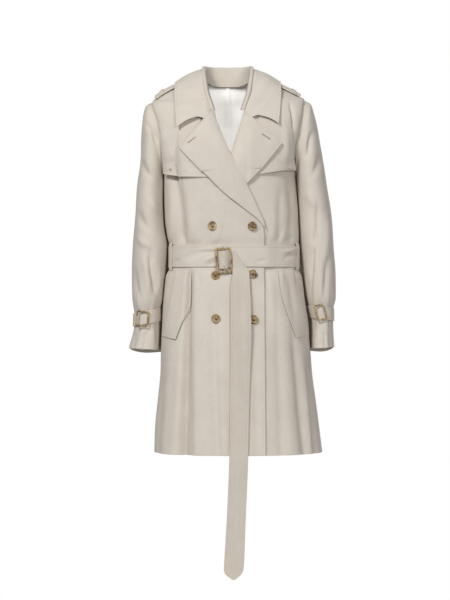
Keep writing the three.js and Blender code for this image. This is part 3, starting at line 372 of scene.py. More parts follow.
def shell(name, rows, inner, outer, materials, closed=False, sewn=(), inset=stitchInset, rim=0.45):
    # closed wall of cloth between two distances from a grid of points; rows run up and columns run
    # counter-clockwise seen from above, so a positive distance is outwards
    rows = np.asarray(rows, float)
    height, width = rows.shape[:2]
    normal = normalsOf(rows, closed)
    outer = np.zeros((height, width)) + outer
    inner = np.zeros((height, width)) + inner
    runU, runV = runs(rows, 1, closed), runs(rows, 0)
    u, v = runU[:, :width], runV
    distance = {"start": u, "end": runU[:, -1:] - u, "low": v, "high": v[-1:] - v}
    for edge in sewn:
        outer = outer + sewnLow(distance[edge], inset)
    middle = (outer + inner) / 2
    rims = np.ones((height, width))
    rims[[0, -1]] = rim
    if not closed:
        rims[:, [0, -1]] = rim
    outside = rows + normal * (middle + (outer - middle) * rims)[..., None]
    inside = rows + normal * (middle + (inner - middle) * rims)[..., None]
    points = np.concatenate([outside.reshape(-1, 3), inside.reshape(-1, 3)])
    spans = width if closed else width - 1
    i, j = np.meshgrid(np.arange(height - 1), np.arange(spans), indexing="ij")
    i, j = i.ravel(), j.ravel()
    nextJ = (j + 1) % width
    place = lambda sheet, a, b: (sheet * height + a) * width + b
    faces, corners = [], []

    def add(quad, uv):
        faces.append(np.stack(quad, 1))
        corners.append(np.stack(uv, 1))

    def uvAt(a, b):
        return np.stack([runU[a, b], runV[a, b % width]], -1)

    add([place(0, i, j), place(0, i, nextJ), place(0, i + 1, nextJ), place(0, i + 1, j)],
        [uvAt(i, j), uvAt(i, j + 1), uvAt(i + 1, j + 1), uvAt(i + 1, j)])
    add([place(1, i, j), place(1, i + 1, j), place(1, i + 1, nextJ), place(1, i, nextJ)],
        [uvAt(i, j), uvAt(i + 1, j), uvAt(i + 1, j + 1), uvAt(i, j + 1)])
    innerFaces = (len(i), 2 * len(i))
    j = np.arange(spans)
    nextJ = (j + 1) % width
    for a, flip in ((0, True), (height - 1, False)):
        row = np.full(spans, a)
        quad = [place(0, row, j), place(0, row, nextJ), place(1, row, nextJ), place(1, row, j)]
        uv = [uvAt(row, j), uvAt(row, j + 1), uvAt(row, j + 1), uvAt(row, j)]
        add(quad[::-1] if flip else quad, uv[::-1] if flip else uv)
    if not closed:
        i = np.arange(height - 1)
        for b, flip in ((0, False), (width - 1, True)):
            column = np.full(height - 1, b)
            quad = [place(0, i, column), place(0, i + 1, column),
                    place(1, i + 1, column), place(1, i, column)]
            uv = [uvAt(i, column), uvAt(i + 1, column), uvAt(i + 1, column), uvAt(i, column)]
            add(quad[::-1] if flip else quad, uv[::-1] if flip else uv)
    faces = np.concatenate(faces)
    slots = np.zeros(len(faces), int)
    if len(materials) > 1:
        slots[innerFaces[0]:innerFaces[1]] = 1
    piece = makeMesh(name, points, faces, materials, np.concatenate(corners).reshape(-1, 2), slots)
    return {"piece": piece, "outside": outside, "normal": normal, "faces": innerFaces}


stitch = {"length": 2.7, "gap": 1.1, "thick": 0.42, "sunk": 0.1}


def rail(surface, edge, inset=stitchInset, trim=(0, 0)):
    # line at a fixed distance from one edge of a wall's outside, with its normals
    points, normals = surface["outside"], surface["normal"]
    if edge in ("low", "high"):
        points, normals = points.swapaxes(0, 1), normals.swapaxes(0, 1)
    if edge in ("end", "high"):
        points, normals = points[:, ::-1], normals[:, ::-1]
    run = runs(points, 1)
    line, up = [], []
    for k in range(len(points)):
        line.append([np.interp(inset, run[k], points[k, :, c]) for c in range(3)])
        up.append([np.interp(inset, run[k], normals[k, :, c]) for c in range(3)])
    line, up = np.array(line), unit(np.array(up))
    reach = runs(line[None], 1)[0]
    wanted = np.arange(trim[0], reach[-1] - trim[1], 1.0)
    at = lambda values: np.stack([np.interp(wanted, reach, values[:, c]) for c in range(3)], -1)
    return at(line), unit(at(up))


def stitching(name, lines, material, size=stitch):
    # rows of single stitches, each a short thread that dips into the cloth at both ends
    points, faces = [], []
    for line, up in lines:
        reach = runs(line[None], 1)[0]
        pitch = size["length"] + size["gap"]
        for start in np.arange(0, reach[-1] - size["length"], pitch):
            places = start + size["length"] * np.array([0, 0.25, 0.75, 1])
            centre = np.stack([np.interp(places, reach, line[:, c]) for c in range(3)], -1)
            normal = unit(np.stack([np.interp(places, reach, up[:, c]) for c in range(3)], -1))
            ahead = unit(centre[-1] - centre[0])
            side = unit(np.cross(ahead, normal))
            lift = np.array([-0.35, 0.12, 0.12, -0.35])[:, None] * normal - size["sunk"] * normal
            base = sum(len(block) for block in points)
            thick = size["thick"]
            rings = [centre[0:1] + lift[0:1]]
            for k in (1, 2):
                rings.append(np.stack([centre[k] + lift[k] + thick * (c * side[k] + s * normal[k])
                                       for c, s in ((1, 0), (0, 1), (-1, 0), (0, -1))]))
            rings.append(centre[3:4] + lift[3:4])
            points.append(np.concatenate(rings))
            for k in range(4):
                after = (k + 1) % 4
                faces.append((base, base + 1 + after, base + 1 + k))
                faces.append((base + 1 + k, base + 1 + after, base + 5 + after, base + 5 + k))
                faces.append((base + 5 + k, base + 5 + after, base + 9))
    return makeMesh(name, np.concatenate(points), faces, [material])


# Materials

def linear(code):
    # sRGB hex colour as the linear numbers that shaders use
    parts = [int(code[i:i + 2], 16) / 255 for i in (1, 3, 5)]
    return tuple(c / 12.92 if c <= 0.04045 else ((c + 0.055) / 1.055) ** 2.4 for c in parts) + (1.0,)


def addNode(tree, kind, settings=None, inputs=None):
    node = tree.nodes.new(kind)
    for name, value in (settings or {}).items():
        setattr(node, name, value)
    for name, value in (inputs or {}).items():
        if isinstance(value, bpy.types.NodeSocket):
            tree.links.new(value, node.inputs[name])
        else:
            node.inputs[name].default_value = value
    return node


def newMaterial(name):
    material = bpy.data.materials.new(name)
    material.use_nodes = True
    tree = material.node_tree
    tree.nodes.clear()
    shader = addNode(tree, "ShaderNodeBsdfPrincipled")
    addNode(tree, "ShaderNodeOutputMaterial", None, {"Surface": shader.outputs["BSDF"]})
    return material, tree, shader


def setShader(tree, shader, inputs):
    for name, value in inputs.items():
        if isinstance(value, bpy.types.NodeSocket):
            tree.links.new(value, shader.inputs[name])
        else:
            shader.inputs[name].default_value = value


def colourRamp(tree, factor, stops):
    node = addNode(tree, "ShaderNodeValToRGB", None, {"Fac": factor})
    ramp = node.color_ramp
    while len(ramp.elements) < len(stops):
        ramp.elements.new(0.5)
    for element, (place, code) in zip(ramp.elements, stops):
        element.position, element.color = place, linear(code)
    return node.outputs["Color"]


def wovenCloth(name, pale, dark, threadGap, depth, roughness, sheen):
    # woven cloth by its own lengths: a fine twill, slubs a few threads long and soft unevenness of dye
    material, tree, shader = newMaterial(name)
    place = addNode(tree, "ShaderNodeUVMap", {"uv_map": "clothLength"}).outputs["UV"]
    waves = 0.314 / threadGap                                        # a wave texture's scale for one rib
    ribs = addNode(tree, "ShaderNodeTexWave", {"bands_direction": "DIAGONAL"},
                   {"Vector": place, "Scale": waves / 1.41, "Distortion": 0.6, "Detail": 1.0,
                    "Detail Scale": 2.0})
    longer = addNode(tree, "ShaderNodeMapping", None, {"Vector": place, "Scale": (1, 0.14, 1)})
    slubs = addNode(tree, "ShaderNodeTexNoise", None,
                    {"Vector": longer.outputs["Vector"], "Scale": 0.35 / threadGap, "Detail": 3.0,
                     "Roughness": 0.6})
    dye = addNode(tree, "ShaderNodeTexNoise", None,
                  {"Vector": place, "Scale": 14.0, "Detail": 3.0, "Roughness": 0.55})
    blend = addNode(tree, "ShaderNodeMix", {"data_type": "FLOAT"},
                    {"Factor": 0.4, "A": dye.outputs["Fac"], "B": slubs.outputs["Fac"]})
    colour = colourRamp(tree, blend.outputs["Result"], [(0.3, dark), (0.7, pale)])
    weave = addNode(tree, "ShaderNodeMix", {"data_type": "FLOAT"},
                    {"Factor": 0.35, "A": ribs.outputs["Fac"], "B": slubs.outputs["Fac"]})
    bump = addNode(tree, "ShaderNodeBump", None,
                   {"Height": weave.outputs["Result"], "Strength": 0.35, "Distance": depth})
    setShader(tree, shader, {"Base Color": colour, "Roughness": roughness, "Sheen Weight": sheen,
                             "Sheen Roughness": 0.5, "IOR": 1.45, "Specular IOR Level": 0.25,
                             "Normal": bump.outputs["Normal"]})
    return material


# Gabardine, a tight matte twill. Its real ribs, 0.4 mm apart, are too fine for the picture, so
# they are drawn 1.1 mm apart and shallow.
gabardine = wovenCloth("gabardineStone", "#D9D1C6", "#CDC4B8", 0.0011, 0.00018, 0.88, 0.12)
# a slightly darker copy of the same gabardine, for the belt's hanging end
tailGabardine = wovenCloth("gabardineStoneDarker", "#D1C8BC", "#C4BAAE", 0.0011, 0.0002, 0.88, 0.12)
# Viscose satin, a smooth lining that keeps a soft shine
satin = wovenCloth("satinLining", "#F4F2EF", "#ECE9E4", 0.0007, 0.00005, 0.45, 0.05)


def sewingThread(name, dark, pale):
    # polyester thread, a little shinier than the cloth
    material, tree, shader = newMaterial(name)
    place = addNode(tree, "ShaderNodeTexCoord").outputs["Object"]
    twist = addNode(tree, "ShaderNodeTexNoise", None, {"Vector": place, "Scale": 900.0, "Detail": 2.0})
    colour = colourRamp(tree, twist.outputs["Fac"], [(0.3, dark), (0.7, pale)])
    setShader(tree, shader, {"Base Color": colour, "Roughness": 0.55})
    return material


def hornResin():
    # cast polyester resin made to look like horn: streaks and clouds under a polished surface
    material, tree, shader = newMaterial("hornResin")
    place = addNode(tree, "ShaderNodeTexCoord").outputs["Object"]
    clouds = addNode(tree, "ShaderNodeTexNoise", None,
                     {"Vector": place, "Scale": 60.0, "Detail": 4.0, "Roughness": 0.6, "Distortion": 1.2})
    streaks = addNode(tree, "ShaderNodeMapping", None, {"Vector": place, "Scale": (1.0, 1.0, 0.3)})
    fibres = addNode(tree, "ShaderNodeTexNoise", None,
                     {"Vector": streaks.outputs["Vector"], "Scale": 260.0, "Detail": 3.0})
    blend = addNode(tree, "ShaderNodeMix", {"data_type": "FLOAT"},
                    {"Factor": 0.3, "A": clouds.outputs["Fac"], "B": fibres.outputs["Fac"]})
    colour = colourRamp(tree, blend.outputs["Result"],
                        [(0.34, "#35271A"), (0.43, "#705739"), (0.52, "#A48A5F"), (0.66, "#C2AA7C")])
    bump = addNode(tree, "ShaderNodeBump", None,
                   {"Height": fibres.outputs["Fac"], "Strength": 0.12, "Distance": 0.0002})
    setShader(tree, shader, {"Base Color": colour, "Roughness": 0.34, "IOR": 1.5, "Coat Weight": 0.1,
                             "Coat Roughness": 0.12, "Normal": bump.outputs["Normal"]})
    return material


thread = sewingThread("sewingThread", "#BFB4A6", "#D2C8BB")     # the cloth's own colour
brownThreadAndHoleShade = sewingThread("brownThreadAndHoleShade", "#4A3A29", "#6B573E")   # brown thread for the buttons, and painted shade for the lapels' open buttonholes
horn = hornResin()
print("materials made")


# Pieces

counts = {}


def wear(piece, nodes, held=None):
    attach(piece, "root")
    if nodes:
        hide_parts(*nodes)
    mesh = piece.data
    counts[piece.name] = sum(len(p.vertices) - 2 for p in mesh.polygons)
    if held:
        area = sum(p.area for p in mesh.polygons) / 2
        print("  %s: %d triangles, %.4f square metres" % (piece.name, counts[piece.name], area))


panelSpacing = 3.6


def edgeX(side, z):
    # where a front turns back, pulled in above the break so that the lapel rolls over it
    table, inward = (overEdge, -1) if side == "left" else (underEdge, 1)
    rolled = smooth(coat["breakZ"] - 20, coat["breakZ"] + 30, z)
    return valueAt(table, "x", z) + inward * coat["rollPullBack"] * rolled


def onFront(side, angle, z):
    lift = overLift(bodyBase(angle, z)[..., 0], z) if side == "left" else 0
    point = bodyPoint(angle, z, lift)
    point[..., 1] = np.minimum(point[..., 1], -coat["seamGap"] / 2)
    return point


def frontSkirt(side, u, z):
    # points of a front below the armpit, by a share from its side seam to its edge and a height
    sideAngle = 0 if side == "left" else math.pi
    return onFront(side, mix(sideAngle, angleAt(edgeX(side, z), z, "front"), u), z)


def armholeEdge(side, t):
    top, bottom = armholes[side]["top"], armholes[side]["bottom"]
    z = (top + bottom) / 2 - (top - bottom) / 2 * np.cos(math.pi * t)
    return valueAt(body, side, z), z


def frontYoke(side, u, t):
    # points of a front above the armpit, by a share of its width and a share of the way up
    top, bottom = armholes[side]["top"], armholes[side]["bottom"]
    sideAngle = 0 if side == "left" else math.pi
    outerX, outerZ = armholeEdge(side, t)
    startX, startEdge = valueAt(body, side, bottom), edgeX(side, bottom)
    startAngle = mix(sideAngle, angleAt(startEdge, bottom, "front"), u)
    startShare = (bodyBase(startAngle, bottom)[..., 0] - startX) / (startEdge - startX)
    share = mix(startShare, u, t * t)
    x = mix(outerX, edgeX(side, outerZ + t * (coat["neckZ"] - top)), share)
    topX = mix(valueAt(body, side, top), edgeX(side, coat["neckZ"]), share)
    z = outerZ + t * (shoulderZ(topX) - top)
    limit = shoulderZ(np.clip(x, shoulderTips["left"], shoulderTips["right"]))
    z = np.where(t == 1, limit, np.minimum(z, limit - 0.2))
    return onFront(side, angleAt(x, z, "front"), z)


hemZ = -947


def frontPanel(side):
    bottom = armholes[side]["bottom"]
    width = 300 if side == "left" else 270
    edge = sewnEdge if side == "left" else (0, 0.6, 1.8)
    u = spread(width, panelSpacing, last=edge)[None]
    skirt = hemZ + (bottom - hemZ) * spread(bottom - hemZ, panelSpacing, last=(0,))
    climb = spread(240, panelSpacing, first=(0,))[1:]
    rows = np.concatenate([frontSkirt(side, u, skirt[:, None]), frontYoke(side, u, climb[:, None])])
    return rows if side == "left" else rows[:, ::-1]


over = shell("frontOver", frontPanel("left"), 0, coat["wall"], [gabardine], sewn=("end",))
wear(over["piece"], ["front_over"], "draped")
under = shell("frontUnder", frontPanel("right"), 0, coat["wall"], [gabardine])
wear(under["piece"], ["front_under"], "draped")
print("fronts made")

neck = {"right": coat["neckX"] + coat["neckHalf"], "left": coat["neckX"] - coat["neckHalf"]}
shoulderShares, neckShares = [0, 0.14, 0.28, 0.43, 0.6, 0.8], [0, 0.06, 0.2, 0.4, 0.6, 0.8, 0.94]
tips = {side: float(valueAt(body, side, armholes[side]["top"])) for side in armholes}
backTop = ([mix(tips["right"], neck["right"], s) for s in shoulderShares]
           + [mix(neck["right"], neck["left"], s) for s in neckShares]
           + [mix(tips["left"], neck["left"], s) for s in shoulderShares + [1]][::-1])


def backTopZ(x):
    fromNeck = np.abs(x - coat["neckX"]) / coat["neckHalf"]
    dip = coat["neckZ"] - coat["backNeckDip"] * (1 - fromNeck ** 2)
    return np.where(fromNeck >= 1, shoulderZ(x), dip)


def backPoints(angle, z):
    point = bodyPoint(angle, z)
    point[..., 1] = np.maximum(point[..., 1], coat["seamGap"] / 2)
    return point


def backSkirt(w, z):
    return backPoints(math.pi * (1 + np.clip(w, 1e-6, 1 - 1e-6)) + 0 * z, z)


def backYoke(w, t):
    turns = math.pi * (1 + w)
    bottom = armholes["left"]["bottom"]
    startX, ends = bodyBase(turns, bottom)[..., 0], bodyBase(np.array([math.pi, 2 * math.pi]), bottom)[:, 0]
    startShare = (startX - ends[0]) / (ends[1] - ends[0])
    topX = np.interp(w, np.linspace(0, 1, len(backTop)), backTop)
    topShare = (topX - tips["right"]) / (tips["left"] - tips["right"])
    share = mix(startShare, topShare, t * t)
    (rightX, rightZ), (leftX, leftZ) = armholeEdge("right", t), armholeEdge("left", t)
    tipZ = mix(armholes["right"]["top"], armholes["left"]["top"], share)
    z = mix(rightZ, leftZ, share) + t * (backTopZ(mix(tips["right"], tips["left"], share)) - tipZ)
    return backPoints(angleAt(mix(rightX, leftX, share), z, "back"), z)


w = spread(520, 4.2)[None]
skirt = hemZ + (-238 - hemZ) * spread(-238 - hemZ, 4.2, last=(0,))
climb = spread(240, 4.2, first=(0,))[1:]
rows = np.concatenate([backSkirt(w, skirt[:, None]), backYoke(w, climb[:, None])])
back = shell("backPanel", rows, 0, coat["wall"], [gabardine])
wear(back["piece"], ["back"], "draped")

lining = {"from": -310, "to": 0.985, "side": 4 / 19, "near": 0.8, "far": 1.8, "pleat": 5, "spacing": 4.5}


def liningPanel():
    w = lining["side"] + (1 - 2 * lining["side"]) * spread(300, lining["spacing"])[None]
    low = lining["from"] + (-238 - lining["from"]) * spread(72, lining["spacing"], last=(0,))
    high = lining["to"] * spread(200, lining["spacing"], first=(0,))[1:]
    return np.concatenate([backSkirt(w, low[:, None]), backYoke(w, high[:, None])])


rows = liningPanel()
pleat = lining["pleat"] * np.exp(-((rows[..., 0] - coat["neckX"]) / 4.5) ** 2)
inside = shell("liningBack", rows, -lining["far"] - pleat, -lining["near"] - pleat, [satin])
wear(inside["piece"], ["lining_back"], "draped")
print("back and lining made")


# Sleeves: rings from the armhole to the cuff

ringColumns = ("outX", "outZ", "inX", "inZ", "depth", "back")
sleeveRings = {
    "left": [
        (-200.5, -60, -171, -239, 62, 0), (-211, -67, -171.5, -246, 66, 0),
        (-219.5, -92, -171.8, -255, 69, 0),
        (-224.5, -143, -171, -267, 70, 0), (-227.5, -204, -171, -287, 70, 0),
        (-234.5, -265, -171, -315, 69, 0),
        (-239.5, -347, -169, -367, 67, 0), (-245.5, -428, -160.5, -428, 64, 0),
        (-248.5, -490, -166, -490, 61, 0),
        (-248.5, -555, -172, -555, 58, 0), (-243.5, -598, -180, -596, 51, 2),
        (-244.5, -632, -180, -634, 52, 6),
        (-256.5, -683, -183, -687, 57, 12),
    ],
    "right": [
        (192.5, -55, 167.5, -233, 62, 0), (203.5, -63, 168.5, -240, 66, 0), (212, -90, 169.5, -249, 69, 0),
        (223, -136, 170, -262, 70, 0), (234.5, -197, 171.5, -282, 70, 0), (243.5, -262, 173.5, -312, 69, 0),
        (255.5, -340, 176, -362, 67, 0), (262, -425, 180.5, -425, 64, 0), (267, -496, 187.5, -496, 61, 0),
        (268, -552, 195, -556, 58, 0), (261.5, -588, 205, -596, 51, 2), (262.5, -632, 209, -634, 52, 6),
        (264.5, -680, 208.5, -684, 57, 12),
    ],
}
sleeveTables = {}
for side, rings in sleeveRings.items():
    places = np.linspace(0, 1, len(rings))
    sleeveTables[side] = dict(tableOf(ringColumns, rings), place=places)

# Creases of the sleeves by where they are seen from the front, then from the back
sleeveCreases = {
    "left": [
        (-202, -133, -183, -170, 3, 6, -3.0, 0, 0.4, 0.4),
        (-214, -110, -196, -150, 3, 6, -2.0, 0, 0.4, 0.5),
        (-222, -200, -190, -262, -8, 8, -2.6, 0, 0.4, 0.5),
        (-200, -300, -178, -345, -5, 7, 2.2, 0, 0.4, 0.5),
        (-232, -330, -196, -392, -8, 8, -2.6, 0.2, 0.4, 0.5),
        (-236, -392, -190, -430, -8, 7, 2.4, 0, 0.4, 0.5),
        (-202, -425, -184, -560, -7, 6.5, -4.2, 0.3, 0.3, 0.3),
        (-221, -440, -206, -556, 5, 8, 2.6, 0, 0.4, 0.4),
        (-241, -466, -225, -572, -5, 7, -3.0, 0, 0.4, 0.4),
        (-180, -470, -186, -560, 3, 5, 1.8, 0, 0.4, 0.4),
        (-238, -520, -232, -590, 2, 4, 1.6, 0, 0.4, 0.2), (-214, -640, -218, -690, 2, 6, -2.0, 0, 0.2, 0.1),
        (-196, -636, -192, -690, -2, 6, 1.8, 0, 0.2, 0.1),
        (-240, -640, -246, -690, 0, 6, -1.4, 0, 0.2, 0.1),
    ],
    "right": [
        (210, -127, 194, -217, -4, 7, -3.2, 0, 0.4, 0.4), (199, -158, 188, -201, 2, 5, -2.0, 0, 0.4, 0.5),
        (226, -180, 196, -262, 8, 8, -2.4, 0, 0.4, 0.5), (196, -286, 228, -340, -5, 7, 2.0, 0, 0.4, 0.5),
        (218, -306, 213, -430, 4, 6, -3.6, -0.2, 0.4, 0.2),
        (213, -420, 205, -569, -4, 6, -3.6, -0.2, 0.2, 0.3),
        (240, -330, 236, -470, 5, 9, 2.6, 0, 0.4, 0.4), (250, -440, 240, -560, -4, 7, -2.6, 0, 0.4, 0.4),
        (228, -480, 222, -570, 3, 6, 2.2, 0, 0.4, 0.3), (196, -470, 204, -560, 2, 6, 1.6, 0, 0.4, 0.4),
        (236, -640, 238, -690, 2, 6, -2.0, 0, 0.2, 0.1), (222, -636, 220, -690, -2, 6, 1.6, 0, 0.2, 0.1),
        (252, -640, 254, -690, 0, 5, -1.4, 0, 0.2, 0.1),
    ],
}
backOfSleeve = {
    "left": [
        (-226, -180, -188, -250, 6, 8, -2.6, 0, 0.4, 0.5),
        (-228, -330, -184, -380, 6, 8, -2.8, 0, 0.4, 0.5),
        (-236, -390, -186, -420, 6, 7, 2.6, 0, 0.4, 0.5), (-222, -450, -206, -575, 6, 7, -3.4, 0, 0.4, 0.3),
        (-196, -440, -196, -560, -4, 8, 2.4, 0, 0.4, 0.4),
        (-222, -640, -226, -690, 2, 6, -2.0, 0, 0.2, 0.1),
    ],
    "right": [
        (222, -170, 190, -240, -6, 8, -2.6, 0, 0.4, 0.5), (246, -330, 196, -380, -6, 8, -2.8, 0, 0.4, 0.5),
        (252, -390, 200, -420, -6, 7, 2.6, 0, 0.4, 0.5), (236, -450, 226, -575, -6, 7, -3.4, 0, 0.4, 0.3),
        (212, -440, 218, -560, 4, 8, 2.4, 0, 0.4, 0.4), (240, -640, 242, -690, 2, 6, -2.0, 0, 0.2, 0.1),
    ],
}
cuffStraps = {
    "left": {"outZ": -612, "inZ": -598, "width": 33, "spacing": 3},
    "right": {"outZ": -598, "inZ": -590, "width": 33, "spacing": 3},
}
gather = {"deep": 4.2, "reach": 46}
sleeveFit = {"spacing": 4.0, "around": 330, "long": 640, "hemTurn": 25, "headEase": 0.085,
             "besideBody": 4.2, "mostPress": 15, "tuck": [(0.2, 0.985), (1.6, 0.965), (5, 0.955)]}


def ringPoint(side, down, angle):
    value = lambda name: valueAt(sleeveTables[side], name, np.clip(down, 0, 1), "place")
    outX, outZ, inX, inZ = value("outX"), value("outZ"), value("inX"), value("inZ")
    cos, sin = np.cos(angle), np.sin(angle)
    x = (outX + inX) / 2 + (outX - inX) / 2 * cos
    y = -value("depth") * sin
    z = (outZ + inZ) / 2 + (outZ - inZ) / 2 * cos - np.maximum(0, -sin) * value("back")
    return np.stack([x, y, z], -1)


def sleeveFine(side, x, z, angle):
    sin = np.sin(angle)
    strap = cuffStraps[side]
    middle = mix(strap["inZ"], strap["outZ"], 0.5 + 0.5 * np.cos(angle))
    out = creaseOut(sleeveCreases[side], x, z) * smooth(-0.05, 0.3, sin)
    out += creaseOut(backOfSleeve[side], x, z) * smooth(-0.05, 0.3, -sin)
    out *= creaseStrength["sleeve"]
    around = np.cos(9 * angle + 0.8 + 1.1 * np.sin(2 * angle)) + 0.5 * np.cos(14 * angle + 2.0 + 0.01 * z)
    near = np.exp(-(np.abs(z - middle) / gather["reach"]) ** 1.5)
    out += gather["deep"] * near * (around / 1.5 - 1) * 0.5
    out += rippleOut(70 * angle + 40 * (side == "left"), 1.4 * z, 1.2)
    return out


def besideBody(side, point):
    # how far the sleeve's inner back is pressed against the body, so that no light shows between them
    y, z = point[..., 1], point[..., 2]
    left, right, power = (valueAt(body, name, z) for name in ("left", "right", "round"))
    share = np.clip(y / valueAt(body, "back", z), 0, 1)
    reach = (right - left) / 2 * (1 - share ** power) ** (1 / power)
    inward = 1 if side == "left" else -1
    target = (left + right) / 2 - inward * (reach + sleeveFit["besideBody"])
    move = np.clip((target - point[..., 0]) * inward, 0, sleeveFit["mostPress"])
    window = smooth(2, 16, y) * (1 - smooth(34, 52, y))
    return inward * move * window * smooth(armholes[side]["bottom"], armholes[side]["bottom"] - 18, z)


def sleevePoint(side, down, angle, lift=0.0, fine=1.0):
    point = ringPoint(side, down, angle)
    turn = ringPoint(side, down, angle + 0.01) - ringPoint(side, down, angle - 0.01)
    run = ringPoint(side, down + 0.004, angle) - ringPoint(side, down - 0.004, angle)
    normal = unit(np.cross(run, turn)) * (1 if side == "left" else -1)
    free = smooth(0, 0.05, down)
    out = lift + fine * free * sleeveFine(side, point[..., 0], point[..., 2], angle)
    point = point + normal * np.broadcast_to(out, point.shape[:-1])[..., None]
    inner = smooth(0.1, -0.3, np.cos(angle))
    point[..., 0] += inner * besideBody(side, point)
    return point


def armholeRing(side, angle, small, inwards):
    # ring just inside or outside the armhole of the body
    top, bottom = armholes[side]["top"], armholes[side]["bottom"]
    z = (top + bottom) / 2 + (top - bottom) / 2 * np.cos(angle) * small
    x = valueAt(body, side, z) + inwards * (1 if side == "left" else -1)
    return np.stack([x, -coat["armholeDepth"] * np.sin(angle) * small, z], -1)


def sleeve(side):
    direction = 1 if side == "left" else -1
    count = round(sleeveFit["around"] / sleeveFit["spacing"])
    angle = direction * np.arange(count) * 2 * math.pi / count
    down = 1 - spread(sleeveFit["long"], sleeveFit["spacing"], last=(0, 2))[:, None]
    rows = sleevePoint(side, down, angle[None])
    head = armholeRing(side, angle, 1, -1.1)[None] - rows[-1:]
    rows = rows + head * (1 - smooth(0, sleeveFit["headEase"], down))[..., None]
    tucked = [armholeRing(side, angle, small, inwards) for inwards, small in sleeveFit["tuck"]]
    return np.concatenate([rows, np.array(tucked)])


def nearHem(rows, reach):
    run = runs(rows, 0)[:, 0]
    return int(np.searchsorted(run, reach))


for side in ("left", "right"):
    rows = sleeve(side)
    title = side.capitalize()
    made = shell("sleeve" + title, rows, 0, coat["wall"], [gabardine, satin], closed=True)
    width = rows.shape[1]
    slots = np.zeros(len(made["piece"].data.polygons), int)
    first = made["faces"][0] + nearHem(rows, sleeveFit["hemTurn"]) * width
    slots[first:made["faces"][1]] = 1
    made["piece"].data.polygons.foreach_set("material_index", slots)
    wear(made["piece"], ["sleeve_" + side], "draped")
print("sleeves made")


# Curves through points

def curveThrough(points, shares):
    # centripetal curve through points, evenly by its pieces, as in the solids
    points = np.asarray(points, float)
    ends = [2 * points[0] - points[1], 2 * points[-1] - points[-2]]
    padded = np.concatenate([ends[:1], points, ends[1:]])
    place = np.clip(np.asarray(shares, float), 0, 1) * (len(points) - 1)
    i = np.clip(np.floor(place).astype(int), 0, len(points) - 2)
    t = (place - i)[:, None]
    a, b, c, d = padded[i], padded[i + 1], padded[i + 2], padded[i + 3]
    gap = lambda p, q: np.maximum(np.linalg.norm(q - p, axis=1, keepdims=True) ** 0.5, 1e-4)
    d0, d1, d2 = gap(a, b), gap(b, c), gap(c, d)
    m1 = ((b - a) / d0 - (c - a) / (d0 + d1) + (c - b) / d1) * d1
    m2 = ((c - b) / d1 - (d - b) / (d1 + d2) + (d - c) / d2) * d1
    return (b + m1 * t + (-3 * b + 3 * c - 2 * m1 - m2) * t ** 2 + (2 * b - 2 * c + m1 + m2) * t ** 3)


def smoothLine(points, count=200):
    return curveThrough(points, np.linspace(0, 1, count))


# Lapels

lapelShapes = {
    "left": {
        "start": -378, "join": (-41.5, -88), "notch": (-59, -106.5), "tip": (-123, -181),
        "lower": [(-123, -181), (-87, -220), (-51, -256), (-18, -291), (29, -329), (64, -357), (82, -378)],
        "holeFrom": (-105, -170), "holeTo": (-86, -156),
    },
    "right": {
        "start": -364, "join": (35, -89), "notch": (47, -106.5), "tip": (127, -169),
        "lower": [(127, -169), (98, -206), (68, -241), (38, -273), (-3, -312), (-42, -346), (-67, -364)],
        "holeFrom": (99, -161), "holeTo": (79, -148),
    },
}
lapel = {"spacing": 2.4, "bulge": 10, "peak": 33, "curl": 2.2, "clearFrom": 38, "clearTo": 51, "ease": 0.4}
lapelNose = [(1.8, 0.4), (1.1, 0.43), (0.5, 0.5), (0.22, 0.63), (0.1, 0.78), (0.03, 0.9)]


def lapelLift(side, x, z):
    layer = coat["layer"]
    if side == "left":
        return overLift(x, z) + 2 * layer + lapel["ease"]
    return layer + (layer + lapel["ease"]) * smooth(lapel["clearFrom"], lapel["clearTo"], x)


def lapelGrid(side):
    shape = lapelShapes[side]
    outward = -1 if side == "left" else 1
    v = spread(340, lapel["spacing"], first=(0, 0.6, 1.8), last=sewnEdge)
    u = spread(150, lapel["spacing"], first=(0, 2.4), last=sewnEdge)[None]
    rollZ = mix(shape["start"], shape["join"][1], v)
    rollX = valueAt(overEdge if side == "left" else underEdge, "x", rollZ)
    outer = along(smoothLine(shape["lower"]), 1 - v ** 0.8)
    top = along([shape["join"], shape["notch"], shape["tip"]], u[0])
    plain = mix(np.array(shape["join"]), np.array(shape["tip"]), u[0][:, None])
    bend = (v ** 8)[:, None]
    x = mix(rollX[:, None], outer[:, :1], u) + bend * (top - plain)[:, 0]
    z = mix(rollZ[:, None], outer[:, 1:], u) + bend * (top - plain)[:, 1]
    wide = np.hypot(outer[:, 0] - rollX, outer[:, 1] - rollZ)[:, None]
    away = u * wide / lapel["peak"]
    soft = lapel["bulge"] * away * np.exp(1 - away) * smooth(20, 90, wide)
    curl = lapel["curl"] * smooth(0.6, 1, u) * smooth(0.5, 0.95, v)[:, None]
    rows = frontPoint(x, z, lapelLift(side, x, z) + soft + curl)
    base = overLift(rollX, rollZ) if side == "left" else 0 * rollX
    full = lapelLift(side, rollX, rollZ) - base
    nose = np.stack([frontPoint(rollX + outward * out, rollZ, base + full * height)
                     for out, height in lapelNose], 1)
    rows = np.concatenate([nose, rows], 1)
    return rows[:, ::-1] if side == "left" else rows


lapels = {}
for side in ("left", "right"):
    title = side.capitalize()
    made = shell("lapel" + title, lapelGrid(side), 0, coat["wall"], [gabardine],
                 sewn=("high", "start" if side == "left" else "end"))
    lapels[side] = made
    wear(made["piece"], ["lapel_" + side], "folded")
    edge = "start" if side == "left" else "end"
    sewn = stitching("lapelStitches" + title,
                     [rail(made, edge, trim=(4, 5.5)), rail(made, "high", trim=(12, 5.5))], thread)
    wear(sewn, [])
print("lapels made")


# Storm flaps

